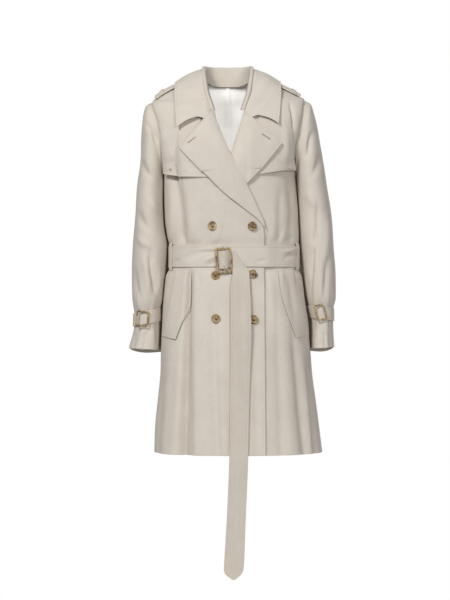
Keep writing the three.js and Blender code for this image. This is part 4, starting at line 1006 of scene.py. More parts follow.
stormFlaps = {
    "left": {
        "low": tableOf(("u", "z"), [(0, -240), (0.2, -246), (0.4, -252), (1, -257)]),
        "outer": (0.1, 0.02), "inner": (0.8, 0.9), "stand": 2.6, "standReach": 48, "standAt": 1.0,
        "hangs": 20, "softened": 30,
    },
    "right": {
        "low": tableOf(("u", "z"), [(0, -235), (0.35, -236), (0.6, -243), (0.78, -251), (1, -257)]),
        "outer": (0.1, 0.02), "inner": (0.79, 0.9), "stand": 4.0, "standReach": 55, "standAt": 1.5,
        "hangs": 14, "softened": 30,
    },
}


def stormFlap(side):
    shape = stormFlaps[side]
    bottom = armholes[side]["bottom"]
    across = spread(150, 2.8)
    u0 = mix(shape["outer"][0], shape["inner"][0], across)[None]
    lowZ = valueAt(shape["low"], "z", u0[0], "u")
    rise = np.array([0, 0.6, 1.4, 2.8, 4.2, 4.9, 5.5, 6.1, 6.8, 8.2, 10.5, 14])[:, None] / 20
    low = frontSkirt(side, u0, np.minimum(mix(lowZ, bottom, rise), bottom + 0 * u0))
    t = spread(235, 3.0, first=(0,))[:, None]
    outerU, innerU = mix(*shape["outer"], t), mix(*shape["inner"], t)
    rows = np.concatenate([low, frontYoke(side, mix(outerU, innerU, across), t)])
    # the flap hangs straight from the chest, softened, but never behind the panel under it
    above = np.argmax(rows[..., 2] >= bottom + shape["hangs"], 0)
    hung = rows[above, np.arange(len(above)), 1]
    below = np.arange(len(rows))[:, None] < above
    onPanel = rows[..., 1].copy()
    soft = np.where(below, np.minimum(onPanel, hung), onPanel)
    for _ in range(shape["softened"]):
        padded = np.pad(soft, 1, mode="edge")
        soft = (padded[:-2, 1:-1] + padded[2:, 1:-1] + padded[1:-1, :-2] + padded[1:-1, 2:]) / 8 + soft / 2
    softHere = 1 - smooth(70, 130, runs(rows, 0))
    rows[..., 1] = np.minimum(onPanel, mix(onPanel, soft, softHere))
    free = 1 - smooth(0, shape["standReach"], runs(rows, 0))
    rows[..., 1] -= shape["stand"] * free * np.sin(math.pi * across ** shape["standAt"])[None]
    return rows if side == "left" else rows[:, ::-1]


for side in ("left", "right"):
    title = side.capitalize()
    made = shell("stormFlap" + title, stormFlap(side), coat["layer"], coat["layer"] + coat["wall"],
                 [gabardine], sewn=("low",))
    wear(made["piece"], ["storm_flap_" + side], "draped")
    sewn = stitching("stormFlapStitches" + title, [rail(made, "low", trim=(2, 2))], thread)
    wear(sewn, [])


# Pocket welts

pocketWelts = {
    "left": {"inner": [(-99, -495), (-101, -564), (-130, -660)],
             "outer": [(-134, -482), (-146, -560), (-168, -652)]},
    "right": {"inner": [(117, -489), (130, -567), (163, -656)],
              "outer": [(153, -479), (176, -560), (197, -646)]},
}
weltStand = 2.4      # how far a welt's open edge stands off


def pocketWelt(side):
    shape = pocketWelts[side]
    v = spread(180, 2.4, first=sewnEdge, last=sewnEdge)
    u = spread(42, 2.2, first=sewnEdge, last=(0, 0.6, 1.8))
    inner, outer = along(smoothLine(shape["inner"]), 1 - v), along(smoothLine(shape["outer"]), 1 - v)
    x, z = mix(inner[:, :1], outer[:, :1], u), mix(inner[:, 1:], outer[:, 1:], u)
    lift = coat["layer"] + 0.8 + weltStand * (1 - smooth(0, 0.55, u))
    lift = lift + (overLift(x, z) if side == "left" else 0)
    rows = frontPoint(x, z, lift)
    return rows[:, ::-1] if side == "left" else rows


for side in ("left", "right"):
    title = side.capitalize()
    openEdge = "end" if side == "left" else "start"
    made = shell("pocketWelt" + title, pocketWelt(side), 0, coat["wall"], [gabardine],
                 sewn=(openEdge, "low", "high"))
    wear(made["piece"], ["pocket_welt_" + side], "draped")
    lines = [rail(made, openEdge, trim=(5.5, 5.5)), rail(made, "low", trim=(1, 5.5)),
             rail(made, "high", trim=(1, 5.5))]
    sewn = stitching("pocketWeltStitches" + title, lines, thread)
    wear(sewn, [])
print("flaps and welts made")


# Collar: up from the neck seam inside, over the fold, and down outside

collarStations = [
    ((0, 57, -13), (0, 65, 38), (0, 98, -42)), ((32, 49, -12), (38, 57, 38), (64, 95, -42)),
    ((52, 26, -6), (56, 27, 37), (117, 64, -33)), ((56, -5, -1), (59, -4, 31), (132, 6, -7)),
    ((54, -33, -8), (57, -42, 6), (134, -45, -27)), ((46, -66, -44), (51, -80, -38), (132, -84, -80)),
    ((33, -90, -86), (36, -103, -84), (127, -106, -131)),
]
collar = {
    "wall": 2, "lift": 5.5, "cornerLift": 9, "rollWidth": 6, "rollDeepest": 6, "rollShare": 0.45, "bulge": 5,
    "dropLeft": 0, "dropRight": 10, "spacing": 2.6, "standSeam": 14,
}
collarNose = [(0, 1), (0.15, 0.25), (0.5, 0), (0.85, 0.2), (1, 0.8)]
collarFall = [0.1, 0.18, 0.27, 0.4, 0.55, 0.7, 0.85, 1]
# the curve of the collar's two lower ends: how far they hang below a straight line
collarEnd = tableOf(("v", "low"), [
    (0, 0), (0.1, 11), (0.18, 14), (0.27, 8), (0.4, 0), (0.55, -3), (0.75, -4.5), (1, 0),
])


def collarCurve(which, shares):
    half = [np.array(station[which], float) for station in collarStations]
    last = len(half) - 1
    left = [p * [-1, 1, 1] - [0, 0, collar["dropLeft"] * ((i + 1) / last) ** 3] for i, p in enumerate(half[1:])]
    drop = collar["dropRight"] if which == 2 else 0
    right = [p + [0, 0, drop * ((i + 1) / last) ** 6] for i, p in enumerate(half[1:])]
    points = np.array(left[::-1] + [half[0]] + right) + [coat["neckX"], 0, 0]
    return curveThrough(points, shares)


def clearOfBody(point, lift):
    # the collar's fall stays outside the shoulders and fronts
    front = point[..., 1] < 0
    top = shoulderZ(np.clip(point[..., 0], shoulderTips["left"], shoulderTips["right"]))
    below = point[..., 2] <= top - 1
    z = np.minimum(point[..., 2], top - 1)
    depth = np.where(front, np.abs(bodyPoint(angleAt(point[..., 0], z, "front"), z, 0, 0)[..., 1]),
                     np.abs(bodyPoint(angleAt(point[..., 0], z, "back"), z, 0, 0)[..., 1]))
    limit = depth + lift
    moved = np.where(front, np.minimum(point[..., 1], -limit), np.maximum(point[..., 1], limit))
    out = point.copy()
    out[..., 1] = np.where(below, moved, point[..., 1])
    return out


def collarGrid():
    u = spread(560, collar["spacing"], first=sewnEdge, last=sewnEdge)
    s, f, e = (collarCurve(which, u) for which in range(3))
    up = f - s
    height = np.linalg.norm(up, axis=1, keepdims=True)
    up = up / height
    out = e - f
    out = unit(out - up * (out * up).sum(1, keepdims=True))
    drop = np.minimum(collar["rollDeepest"], height * collar["rollShare"])
    nose = [f + out * w * collar["rollWidth"] - up * d * drop for w, d in collarNose]
    front = (np.abs(2 * u - 1) ** 6)[:, None]
    nearEnd = smooth(0.88, 1, np.abs(2 * u - 1))[:, None]
    profile = [s, mix(s, nose[0], 0.5)] + nose
    for v in collarFall:
        point = mix(nose[-1], e, v) + up * collar["bulge"] * math.sin(math.pi * v) * (1 - front)
        point[:, 2] -= valueAt(collarEnd, "low", v, "v") * nearEnd[:, 0]
        corner = collar["cornerLift"] * min(1, 0.35 + v) * front[:, 0]
        profile.append(clearOfBody(point, collar["lift"] + collar["wall"] + corner))
    coarse = np.array(profile)
    rows = []
    for j in range(len(u)):
        line = smoothLine(coarse[:, j], 160)
        length = np.linalg.norm(np.diff(line, axis=0), axis=1).sum()
        shares = spread(150, collar["spacing"], last=sewnEdge)
        gap = np.array([150 * (1 - share) for share in shares])
        shares = np.where(gap < 10, 1 - gap / length, shares * (1 - 10 / length) / (1 - 10 / 150))
        rows.append(along(line, shares))
    return np.array(rows).swapaxes(0, 1)


grid = collarGrid()
across = np.linspace(0, 1, grid.shape[1])[None]
fall = smooth(0.35, 0.7, np.linspace(0, 1, grid.shape[0]))[:, None]
wave = fall * (0.8 * np.sin(9 * across + 1) + 0.5 * np.sin(23 * across + 2))
made = shell("collarCloth", grid, wave, collar["wall"] + wave, [gabardine], sewn=("high", "start", "end"))
wear(made["piece"], ["collar"], "folded")
lines = [rail(made, "high", trim=(5.5, 5.5)), rail(made, "start", trim=(8, 5.5)),
         rail(made, "end", trim=(8, 5.5)), rail(made, "low", collar["standSeam"], trim=(6, 6))]
wear(stitching("collarStitches", lines, thread), [])
print("collar made")


# Shoulder tabs and their keepers

tab = {
    "innerX": 112, "outerX": 185, "front": -32, "back": 20, "standOff": 9.5, "innerOff": 6, "innerReach": 30,
    "wall": 2, "spacing": 1.8, "crown": 1.6,
}
keeper = {"x": 163, "width": 11, "spread": 2, "over": 3.6, "wall": 1.2, "spacing": 1.6}


def shoulderTop(x, y):
    # height of the shoulder beside its line, by halving
    top = shoulderZ(x)
    low, high = top - 45, top + 0 * x
    for _ in range(24):
        middle = (low + high) / 2
        depth = np.where(y < 0, np.abs(bodyBase(angleAt(x, middle, "front"), middle)[..., 1]),
                         np.abs(bodyBase(angleAt(x, middle, "back"), middle)[..., 1]))
        inside = depth < np.abs(y)
        high, low = np.where(inside, middle, high), np.where(inside, low, middle)
    return (low + high) / 2


def onShoulder(side, fromX, toX, wider, lift, spacing):
    out = -1 if side == "left" else 1
    u = spread(abs(toX - fromX), spacing)
    v = spread(tab["back"] - tab["front"], spacing)
    reach = mix(fromX, toX, 1 - u if side == "left" else u)[None]
    x = coat["neckX"] + out * reach + 0 * v[:, None]
    y = mix(tab["front"] - wider, tab["back"] + wider, v)[:, None] + 0 * x
    near = smooth(tab["innerX"] + tab["innerReach"], tab["innerX"], reach) * (tab["standOff"] - tab["innerOff"])
    crown = tab["crown"] * np.sin(math.pi * v)[:, None]
    return np.stack([x, y, shoulderTop(x, y) + lift - near + crown], -1)


for side in ("left", "right"):
    title = side.capitalize()
    rows = onShoulder(side, tab["innerX"], tab["outerX"], 0, tab["standOff"], tab["spacing"])
    made = shell("shoulderTab" + title, rows, 0, tab["wall"], [gabardine], sewn=("low", "high"), inset=4)
    wear(made["piece"], ["shoulder_tab_" + side], "laid")
    lines = [rail(made, "low", 4, (2, 2)), rail(made, "high", 4, (2, 2))]
    wear(stitching("shoulderTabStitches" + title, lines, thread), [])
    rows = onShoulder(side, keeper["x"], keeper["x"] + keeper["width"], keeper["spread"],
                      tab["standOff"] + keeper["over"], keeper["spacing"])
    made = shell("shoulderLoop" + title, rows, 0, keeper["wall"], [gabardine])
    wear(made["piece"], ["shoulder_loop_" + side], "laid")
print("shoulder tabs made")


# Belt, its loops and its hanging end

belt = {"start": -17, "finish": -4, "lift": 2.9, "spacing": 3.0, "loopLeft": -146, "loopRight": 166}
beltLow, beltHigh = coat["beltZ"] - coat["beltWidth"] / 2, coat["beltZ"] + coat["beltWidth"] / 2


def beltGrid():
    start = angleAt(belt["start"], coat["beltZ"], "front")
    finish = angleAt(belt["finish"], coat["beltZ"], "front") - 2 * math.pi
    angle = mix(finish, start, spread(1000, belt["spacing"]))[None]
    z = mix(beltLow, beltHigh, spread(coat["beltWidth"], 2.2, first=sewnEdge, last=sewnEdge))[:, None]
    base = bodyBase(angle, coat["beltZ"])
    front = base[..., 1] < 0
    over = np.where(front, overLift(base[..., 0], coat["beltZ"]), 0)
    centre = bodyPoint(angle, coat["beltZ"], over + belt["lift"], 0)
    x = centre[..., 0] + 0 * z
    rise = np.where(front, creaseOut(creases["belt"], x, z), creaseOut(creases["belt"], -x, z))
    rise = creaseStrength["belt"] * rise + rippleOut(x * 2.2 + np.where(front, 0, 90), z * 2.0, 0.5)
    out = unit(centre * [1, 1, 0]) * np.maximum(rise, -2.1)[..., None]
    return np.stack([x, centre[..., 1] + 0 * z, z + 0 * x], -1) + out


made = shell("beltCloth", beltGrid(), 0, coat["wall"], [gabardine], sewn=("low", "high"))
wear(made["piece"], ["belt"], "draped")
lines = [rail(made, "low", trim=(2, 2)), rail(made, "high", trim=(2, 2)),
         rail(made, "low", 2.2, (2, 2)), rail(made, "high", 2.2, (2, 2))]
wear(stitching("beltStitches", lines, thread), [])

beltLoop = {"width": 7.2, "reach": 9, "wall": 1.2, "rows": [-1, -0.985, -0.96, -0.93, -0.9, -0.86, -0.8]}
for side in ("left", "right"):
    title = side.capitalize()
    ends = np.array(beltLoop["rows"])
    v = np.concatenate([ends, np.linspace(-0.7, 0.7, 24), -ends[::-1]])[:, None]
    z = coat["beltZ"] + v * (coat["beltWidth"] / 2 + beltLoop["reach"])
    across = spread(beltLoop["width"], 1.2, (0, 0.5), (0, 0.5))[None] - 0.5
    x = belt["loop" + title] + beltLoop["width"] * across
    near = smooth(0.97, 0.86, np.abs(v))
    lift = mix(coat["layer"] + 0.8, belt["lift"] + coat["layer"], near)
    rows = bodyPoint(angleAt(x + 0 * z, z + 0 * x, "front"), z + 0 * x, lift, 0)
    made = shell("beltLoop" + title, rows, 0, beltLoop["wall"], [gabardine])
    wear(made["piece"], ["belt_loop_" + side], "folded")

tail = {"wall": 1.3, "ease": 0.6}
tailRows = tableOf(("ax", "az", "bx", "bz", "lift"), [
    (8, -439, 46, -493, 12.4), (6, -470, 47, -512, 14), (5.5, -500, 47.5, -532, 14),
    (1, -540, 49, -556, 14),
    (1.5, -640, 51, -640, 14), (1.5, -680, 50, -680, 13), (0, -790, 47, -790, 10), (-2, -944, 44, -944, 9),
    (-8, -1100, 38, -1100, 9), (-15, -1228, 32, -1228, 9), (4, -1252, 13, -1252, 9),
])
tailRows["place"] = np.arange(len(tailRows["ax"]), dtype=float)
tailStart = {"a": (-4, -432), "b": (-4, -480), "lift": 9.8, "foldLift": 10.4}
# the cloth over the buckle's bar: how far across, how much lower than the belt's end, how far out
overBar = [(-31, 7, 9), (-28.5, 7, 11.5), (-25, 7, 14.2), (-21, 7, 15.8), (-16.5, 7, 16.5), (-12, 6.5, 15.6),
           (-8.5, 5, 13), (-6, 3, 11)]


def tailGrid():
    u = spread(49, 2.4, first=sewnEdge, last=sewnEdge)[None]
    crease = {name: tailRows[name][0] for name in ("ax", "az", "bx", "bz")}
    turn = np.array([crease["bx"] - crease["ax"], crease["bz"] - crease["az"]])
    away = np.array([-turn[1], turn[0]]) / np.hypot(*turn)
    highZ, lowZ = tailStart["a"][1], tailStart["b"][1]
    sections = [(np.array([x, highZ - drop]), np.array([x + 2, lowZ - drop]), out) for x, drop, out in overBar]
    for share in np.linspace(0, 0.96, 12):
        a = mix(np.array(tailStart["a"]), np.array([crease["ax"], crease["az"]]), share)
        b = mix(np.array(tailStart["b"]), np.array([crease["bx"], crease["bz"]]), share)
        sections.append((a, b, mix(tailStart["lift"], tailStart["foldLift"], share)))
    middle = (tailStart["foldLift"] + tailRows["lift"][0]) / 2
    radius = (tailRows["lift"][0] - tailStart["foldLift"]) / 2
    for theta in np.linspace(0, math.pi, 9):
        shift = away * radius * math.sin(theta)
        sections.append((np.array([crease["ax"], crease["az"]]) + shift,
                         np.array([crease["bx"], crease["bz"]]) + shift, middle - radius * math.cos(theta)))
    top = [0.06, 0.14] + list(np.linspace(0.25, 3, 36))
    point = 9 + np.array([0.12, 0.24, 0.36, 0.5, 0.6, 0.7, 0.8, 0.88, 0.94, 0.98, 1])
    for place in np.concatenate([top, np.linspace(3, 9, 180)[1:], point]):
        ax, az, bx, bz, lift = (float(valueAt(tailRows, name, place, "place"))
                                for name in ("ax", "az", "bx", "bz", "lift"))
        sections.append((np.array([ax, az]), np.array([bx, bz]), lift))
    a = np.array([s[0] for s in sections])[:, None]
    b = np.array([s[1] for s in sections])[:, None]
    lift = np.array([s[2] for s in sections])[:, None]
    place = mix(b, a, u[..., None])
    x, z = place[..., 0], place[..., 1]
    hang = np.arange(len(sections))[:, None] > 24 + len(overBar)
    fine = (creaseOut(creases["tail"], x, z) + rippleOut(2.4 * x, 1.1 * z, 0.7)) * hang
    return frontPoint(x, z, lift + tail["ease"] + fine, 0)


made = shell("beltTail", tailGrid(), 0, tail["wall"], [tailGabardine], sewn=("start", "end", "high"))
wear(made["piece"], ["belt_tail"], "hung")
lines = [rail(made, "start", trim=(60, 5.5)), rail(made, "end", trim=(60, 5.5)),
         rail(made, "high", trim=(5.5, 5.5))]
wear(stitching("beltTailStitches", lines, thread), [])
print("belt made")


# Cuff straps

for side in ("left", "right"):
    strap = cuffStraps[side]
    title = side.capitalize()
    direction = 1 if side == "left" else -1
    count = round(sleeveFit["around"] / strap["spacing"])
    angle = direction * np.arange(count) * 2 * math.pi / count
    middle = mix(strap["inZ"], strap["outZ"], 0.5 + 0.5 * np.cos(angle))
    down = np.linspace(0.7, 1, 61)
    grid = ringPoint(side, down[:, None], angle[None])
    places = np.array([np.interp(-middle[j], -grid[:, j, 2], down) for j in range(count)])
    ring = sleevePoint(side, places, angle, 0, 0)
    normal = unit(sleevePoint(side, places, angle, 1, 0) - ring)
    lean = unit(sleevePoint(side, places - 0.01, angle, 0, 0)
                - sleevePoint(side, places + 0.01, angle, 0, 0))
    v = strap["width"] * (spread(strap["width"], 2.4, first=sewnEdge, last=sewnEdge) - 0.5)
    rows = ring[None] + lean[None] * v[:, None, None]
    wrinkle = rippleOut(angle[None] * 90, v[:, None] * 3, 0.5)
    rows = rows + normal[None] * wrinkle[..., None]
    made = shell("cuffStrap" + title, rows, coat["wall"] + 0.9, 2 * coat["wall"] + 0.9, [gabardine],
                 closed=True, sewn=("low", "high"), inset=4)
    wear(made["piece"], ["cuff_strap_" + side], "draped")
    lines = [rail(made, edge, 4) for edge in ("low", "high")]
    wear(stitching("cuffStrapStitches" + title, lines, thread), [])
print("cuff straps made")


# Horn parts, shaped as by hand

def deselect():
    if bpy.context.object and bpy.context.object.mode != "OBJECT":
        bpy.ops.object.mode_set(mode="OBJECT")
    bpy.ops.object.select_all(action="DESELECT")


def selectFaces(piece, wanted):
    bpy.ops.object.mode_set(mode="OBJECT")
    for face in piece.data.polygons:
        face.select = bool(wanted(face))
    for edge in piece.data.edges:
        edge.select = False
    for vertex in piece.data.vertices:
        vertex.select = False
    for face in piece.data.polygons:
        if face.select:
            for vertex in face.vertices:
                piece.data.vertices[vertex].select = True
    bpy.ops.object.mode_set(mode="EDIT")
    bpy.ops.mesh.select_mode(type="FACE")


def applyAll(piece):
    bpy.context.view_layer.objects.active = piece
    for modifier in list(piece.modifiers):
        bpy.ops.object.modifier_apply(modifier=modifier.name)


def placeMesh(piece, turn, move):
    # the finished mesh is put in place, and its object stays at the origin
    mesh = piece.data
    count = len(mesh.vertices)
    points = np.empty(count * 3)
    mesh.vertices.foreach_get("co", points)
    points = points.reshape(-1, 3) @ np.array(turn).T + np.array(move)
    mesh.vertices.foreach_set("co", points.ravel())
    mesh.update()


buttonSize = {
    "across": 22.7, "thick": 3.4, "well": 1.3, "rim": 2.4, "hole": 1.9, "holeGap": 5.2, "round": 0.55,
}


def modelButton():
    # the button lies in the XY plane with its face up, in metres
    deselect()
    radius = buttonSize["across"] / 2 * metre
    thick = buttonSize["thick"] * metre
    bpy.ops.mesh.primitive_cylinder_add(vertices=56, radius=radius, depth=thick, location=(0, 0, thick / 2))
    piece = bpy.context.object
    bpy.ops.object.mode_set(mode="EDIT")
    selectFaces(piece, lambda face: face.normal.z > 0.9)
    bpy.ops.mesh.inset(thickness=buttonSize["rim"] * metre)
    bpy.ops.transform.translate(value=(0, 0, 0.0002))
    bpy.ops.mesh.inset(thickness=0.9 * metre)
    bpy.ops.transform.translate(value=(0, 0, -buttonSize["well"] * metre))
    bpy.ops.mesh.inset(thickness=2.2 * metre)
    bpy.ops.transform.translate(value=(0, 0, -0.25 * metre))
    bpy.ops.object.mode_set(mode="OBJECT")
    soft = piece.modifiers.new("soft", "BEVEL")
    soft.width, soft.segments, soft.limit_method = buttonSize["round"] * metre, 3, "ANGLE"
    soft.angle_limit = math.radians(25)
    applyAll(piece)
    reach = buttonSize["holeGap"] / 2 * metre
    for turn in range(4):
        angle = math.radians(45 + 90 * turn)
        deselect()
        place = (reach * math.cos(angle), reach * math.sin(angle), thick / 2)
        bpy.ops.mesh.primitive_cylinder_add(vertices=14, radius=buttonSize["hole"] / 2 * metre,
                                            depth=3 * thick, location=place)
        drill = bpy.context.object
        deselect()
        cut = piece.modifiers.new("hole", "BOOLEAN")
        cut.object, cut.operation, cut.solver = drill, "DIFFERENCE", "EXACT"
        piece.select_set(True)
        applyAll(piece)
        bpy.data.objects.remove(drill)
    deselect()
    piece.select_set(True)
    bpy.context.view_layer.objects.active = piece
    bpy.ops.object.shade_smooth_by_angle(angle=math.radians(35))
    return piece


def hornPiece(name, model, node, turn, move):
    piece = model.copy()
    piece.data = model.data.copy()
    piece.name = piece.data.name = name
    bpy.context.scene.collection.objects.link(piece)
    placeMesh(piece, turn, move)
    piece.data.materials.clear()
    piece.data.materials.append(horn)
    wear(piece, [node])


def nodeBox(node):
    low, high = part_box(node)
    return np.array(low), np.array(high)


modelOfButton = modelButton()
facing = np.array([[1, 0, 0], [0, 0, -1], [0, 1, 0]], float)       # a face that looks up turned to the front
threadLines = []
for number in range(1, 7):
    low, high = nodeBox("button_%d" % number)
    turn = math.radians((12, -20, 35, 5, -8, 24)[number - 1])
    spin = np.array([[math.cos(turn), -math.sin(turn), 0], [math.sin(turn), math.cos(turn), 0], [0, 0, 1]])
    middle = ((low[0] + high[0]) / 2, high[1], (low[2] + high[2]) / 2)
    hornPiece("button%d" % number, modelOfButton, "button_%d" % number, facing @ spin, middle)
    reach = buttonSize["holeGap"] / 2
    for pair in ((0, 2), (1, 3)):
        for shift in (-0.35, 0.35):
            ends = []
            for k in pair:
                angle = math.radians(45 + 90 * k)
                flat = np.array([reach * math.cos(angle), reach * math.sin(angle), 0])
                ends.append(flat)
            side = unit(np.cross(ends[1] - ends[0], [0, 0, 1.0])) * shift
            t = np.linspace(0, 1, 9)[:, None]
            height = buttonSize["thick"] - buttonSize["well"] + 0.55 - 1.6 * np.abs(2 * t - 1) ** 4
            line = mix(ends[0] + side, ends[1] + side, t) + [0, 0, 1] * height
            turned = line @ (facing @ spin).T + np.array(middle) / metre
            threadLines.append((turned, np.tile([0.0, -1.0, 0.0], (9, 1))))
bpy.data.objects.remove(modelOfButton)


def threadCords(name, lines, radius, material):
    points, faces = [], []
    for line, up in lines:
        ahead = unit(np.gradient(line, axis=0))
        side = unit(np.cross(ahead, up))
        over = unit(np.cross(side, ahead))
        base, count = sum(len(block) for block in points), len(line)
        ring = [side * math.cos(a) + over * math.sin(a) for a in np.arange(6) * math.pi / 3]
        points.append((line[:, None] + radius * np.stack(ring, 1)).reshape(-1, 3))
        for i in range(count - 1):
            for k in range(6):
                after = (k + 1) % 6
                low = base + 6 * i
                faces.append((low + k, low + after, low + 6 + after, low + 6 + k))
        faces.append(tuple(base + k for k in range(5, -1, -1)))
        faces.append(tuple(base + 6 * (count - 1) + k for k in range(6)))
    return makeMesh(name, np.concatenate(points), faces, [material])


wear(threadCords("buttonThreads", threadLines, 0.34, brownThreadAndHoleShade), [])


def onLapel(surface, x, z, lift):
    # points on a lapel's outside at places seen from the front
    points = surface["outside"].reshape(-1, 3)
    found = []
    for a, b in zip(np.ravel(x), np.ravel(z)):
        away = (points[:, 0] - a) ** 2 + (points[:, 2] - b) ** 2
        near = np.argsort(away)[:4]
        found.append((a, np.average(points[near, 1], weights=1 / (away[near] + 0.2)) - lift, b))
    return np.array(found)


def buttonhole(side):
    # worked slit: close stitches on both sides of a cut, with a round end at its start, and dark cords in the
    # round end and along the cut as painted shade of the open hole
    start, end = np.array(lapelShapes[side]["holeFrom"], float), np.array(lapelShapes[side]["holeTo"], float)
    length = np.linalg.norm(end - start)
    ahead = (end - start) / length
    across = np.array([-ahead[1], ahead[0]])
    ends = []
    for sign in (-1, 1):
        places = np.arange(2.6, length, 0.85)
        ends += [(start + ahead * p + across * sign * 0.3, start + ahead * p + across * sign * 1.8)
                 for p in places]
    for turn in np.linspace(0.35 * math.pi, 1.65 * math.pi, 11):
        way = ahead * math.cos(turn) + across * math.sin(turn)
        ends.append((start + ahead * 1.4 + way * 1.0, start + ahead * 1.4 + way * 2.5))
    lines = [np.linspace(a, b, 4) for a, b in ends]
    # painted shade: a dark ring in the round end and a dark cord along the cut stand for the shade inside the
    # hole
    turns = np.linspace(0, 2 * math.pi, 13)
    ring = start + ahead * 1.4 + 0.55 * np.stack([np.cos(turns), np.sin(turns)], -1)
    slit = np.linspace(start + ahead * 1.4, end, 12)
    return ([(onLapel(lapels[side], flat[:, 0], flat[:, 1], 0.12), np.tile([0.0, -1.0, 0.0], (len(flat), 1)))
             for flat in group] for group in (lines, [ring, slit]))


for side in ("left", "right"):
    bars, paintedHoleShade = buttonhole(side)
    wear(threadCords("buttonhole" + side.capitalize(), bars, 0.3, thread), [])
    # the dark cords in brown thread are painted shade of the open buttonhole
    wear(threadCords("paintedHoleShade" + side.capitalize(), paintedHoleShade, 0.5, brownThreadAndHoleShade), [])
print("buttons made")


def modelBuckle(size):
    # frame with a middle bar in the XZ plane, its back at Y = 0, in metres
    width, height, bar, thick, middle = (size[k] * metre for k in ("width", "height", "bar", "wall", "middle"))
    deselect()
    bpy.ops.mesh.primitive_grid_add(x_subdivisions=5, y_subdivisions=3, size=2)
    piece = bpy.context.object
    columns = [-width / 2, -width / 2 + bar, -middle, middle, width / 2 - bar, width / 2]
    rows = [-height / 2, -height / 2 + bar, height / 2 - bar, height / 2]
    for vertex in piece.data.vertices:
        i, j = round((vertex.co.x + 1) / 2 * 5), round((vertex.co.y + 1) / 2 * 3)
        vertex.co = (columns[i], rows[j], 0)
    bpy.ops.object.mode_set(mode="EDIT")
    inner = lambda face: abs(face.center.y) < height / 2 - bar and (
        middle < abs(face.center.x) < width / 2 - bar)
    selectFaces(piece, inner)
    bpy.ops.mesh.delete(type="FACE")
    bpy.ops.object.mode_set(mode="OBJECT")
    corner = lambda v: abs(v.co.x) > width / 2 - 1e-6 and abs(v.co.y) > height / 2 - 1e-6
    for edge in piece.data.edges:
        edge.select = False
    for vertex in piece.data.vertices:
        vertex.select = corner(vertex)
    bpy.ops.object.mode_set(mode="EDIT")
    bpy.ops.mesh.select_mode(type="VERT")
    bpy.ops.mesh.bevel(affect="VERTICES", offset=size["corner"] * metre, segments=6)
    bpy.ops.object.mode_set(mode="OBJECT")
    solid = piece.modifiers.new("thickness", "SOLIDIFY")
    solid.thickness, solid.offset = thick, 1
    soft = piece.modifiers.new("soft", "BEVEL")
    soft.width, soft.segments, soft.limit_method = size["soft"] * metre, 4, "ANGLE"
    soft.angle_limit = math.radians(40)
    applyAll(piece)
    for vertex in piece.data.vertices:
        inBar = abs(vertex.co.x) < middle + 0.3 * metre and abs(vertex.co.y) < height / 2 - bar - 0.6 * metre
        vertex.co.z *= size["sunk"] if inBar else 1          # the bar lies lower, under the cloth
    deselect()
    piece.select_set(True)
    bpy.context.view_layer.objects.active = piece
    bpy.ops.object.shade_smooth_by_angle(angle=math.radians(50))
    return piece


def turnMatrix(tip, lean):
    # the buckle's plane stands upright and faces the front, tipped and then leaned as in the solids
    a, b = tip, lean
    aboutX = np.array([[1, 0, 0], [0, math.cos(a), -math.sin(a)], [0, math.sin(a), math.cos(a)]])
    aboutY = np.array([[math.cos(b), 0, math.sin(b)], [0, 1, 0], [-math.sin(b), 0, math.cos(b)]])
    return aboutX @ aboutY @ facing


buckles = {
    "beltBuckle": {"node": "belt_buckle", "width": 40, "height": 64.5, "bar": 5.5, "wall": 3, "middle": 2.2,
                   "corner": 5, "soft": 1.35, "tip": -0.064, "lean": -0.07, "sunk": 0.35},
    "cuffBuckleLeft": {"node": "cuff_buckle_left", "width": 33, "height": 40, "bar": 4.5, "wall": 2.6,
                       "middle": 1.8, "corner": 4, "soft": 1.15, "tip": 0, "lean": 0.1, "sunk": 0.5},
    "cuffBuckleRight": {"node": "cuff_buckle_right", "width": 28, "height": 41, "bar": 4.5, "wall": 2.6,
                        "middle": 1.8, "corner": 4, "soft": 1.15, "tip": 0, "lean": -0.24, "sunk": 0.5},
}
for name, size in buckles.items():
    model = modelBuckle(size)
    low, high = nodeBox(size["node"])
    turn = turnMatrix(size["tip"], size["lean"])
    count = len(model.data.vertices)
    points = np.empty(count * 3)
    model.data.vertices.foreach_get("co", points)
    turned = points.reshape(-1, 3) @ turn.T
    move = (low + high) / 2 - (turned.min(0) + turned.max(0)) / 2
    hornPiece(name, model, size["node"], turn, move)
    bpy.data.objects.remove(model)
print("buckles made")


# Camera, lights and a plain pale set

camera = bpy.data.objects.new("camera", bpy.data.cameras.new("camera"))
camera.data.lens, camera.data.sensor_width, camera.data.clip_end = 117.65, 36, 60
camera.location, camera.rotation_euler = (-0.013, -5.0, -0.561), (math.pi / 2, 0, 0)
bpy.context.scene.collection.objects.link(camera)
bpy.context.scene.camera = camera

studio = {"floorZ": -1.46, "floorRadius": 0.78, "ambient": 0.3}


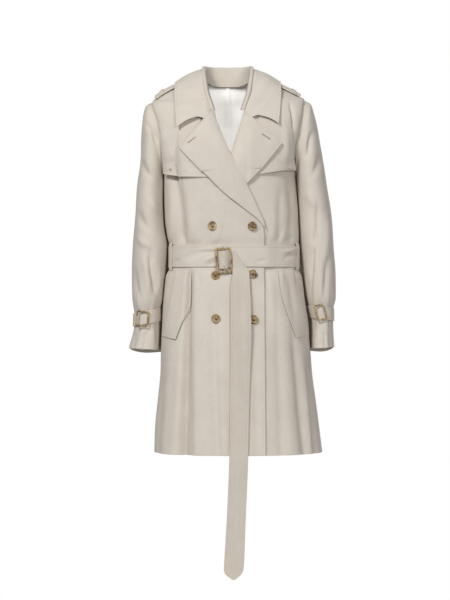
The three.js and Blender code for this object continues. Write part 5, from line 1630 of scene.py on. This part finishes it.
def floor():
    # round pale floor, which ends just below the picture
    material, tree, shader = newMaterial("paperWhite")
    place = addNode(tree, "ShaderNodeTexCoord").outputs["Object"]
    grain = addNode(tree, "ShaderNodeTexNoise", None, {"Vector": place, "Scale": 30.0})
    colour = colourRamp(tree, grain.outputs["Fac"], [(0.3, "#F6F6F6"), (0.7, "#FAFAFA")])
    setShader(tree, shader, {"Base Color": colour, "Roughness": 0.9})
    angles = np.linspace(0, 2 * math.pi, 97)[:-1]
    ring = np.stack([np.cos(angles) * studio["floorRadius"], np.sin(angles) * studio["floorRadius"],
                     0 * angles + studio["floorZ"]], -1)
    disc = makeMesh("paperFloor", ring / metre, [range(len(ring))], [material])


floor()


def softLight(name, place, target, size, power, colour="#FFFFFF"):
    lamp = bpy.data.lights.new(name, "AREA")
    lamp.size, lamp.energy, lamp.color = size, power, linear(colour)[:3]
    light = bpy.data.objects.new(name, lamp)
    light.location = place
    way = np.array(target) - np.array(place)
    yaw = math.atan2(way[1], way[0]) - math.pi / 2
    pitch = math.atan2(way[2], math.hypot(way[0], way[1]))
    light.rotation_euler = (math.pi / 2 + pitch, 0, yaw)
    bpy.context.scene.collection.objects.link(light)
    return light


softLight("keySoftbox", (-1.9, -3.45, 2.2), (0, 0, -0.5), 0.9, 122)
softLight("frontSoftbox", (1.5, -4.5, 0.3), (0, 0, -0.4), 1.2, 62)
softLight("rearSoftbox", (1.8, 4.4, 1.4), (0, 0, -0.5), 1.0, 70)
# a small lamp for the lining alone, which the neck would leave too dark
neckLamp = softLight("neckSoftbox", (0.05, -2.6, 0.9), (-0.006, 0.06, -0.13), 0.5, 68)
lit = bpy.data.collections.new("litByNeckLamp")
lit.objects.link(inside["piece"])
neckLamp.light_linking.receiver_collection = lit
world = bpy.data.worlds.new("studioAir")
world.use_nodes = True
air = world.node_tree
air.nodes.clear()
ray = addNode(air, "ShaderNodeLightPath")                  # the air looks white, and lights less than that
glow = addNode(air, "ShaderNodeMapRange", None, {"Value": ray.outputs["Is Camera Ray"],
                                                "To Min": studio["ambient"], "To Max": 1.0})
paper = addNode(air, "ShaderNodeBackground", None, {"Color": (1, 1, 1, 1), "Strength": glow.outputs["Result"]})
addNode(air, "ShaderNodeOutputWorld", None, {"Surface": paper.outputs["Background"]})
bpy.context.scene.world = world
bpy.context.scene.view_settings.view_transform = "Standard"
print("camera and studio made, %d triangles in all" % sum(counts.values()))
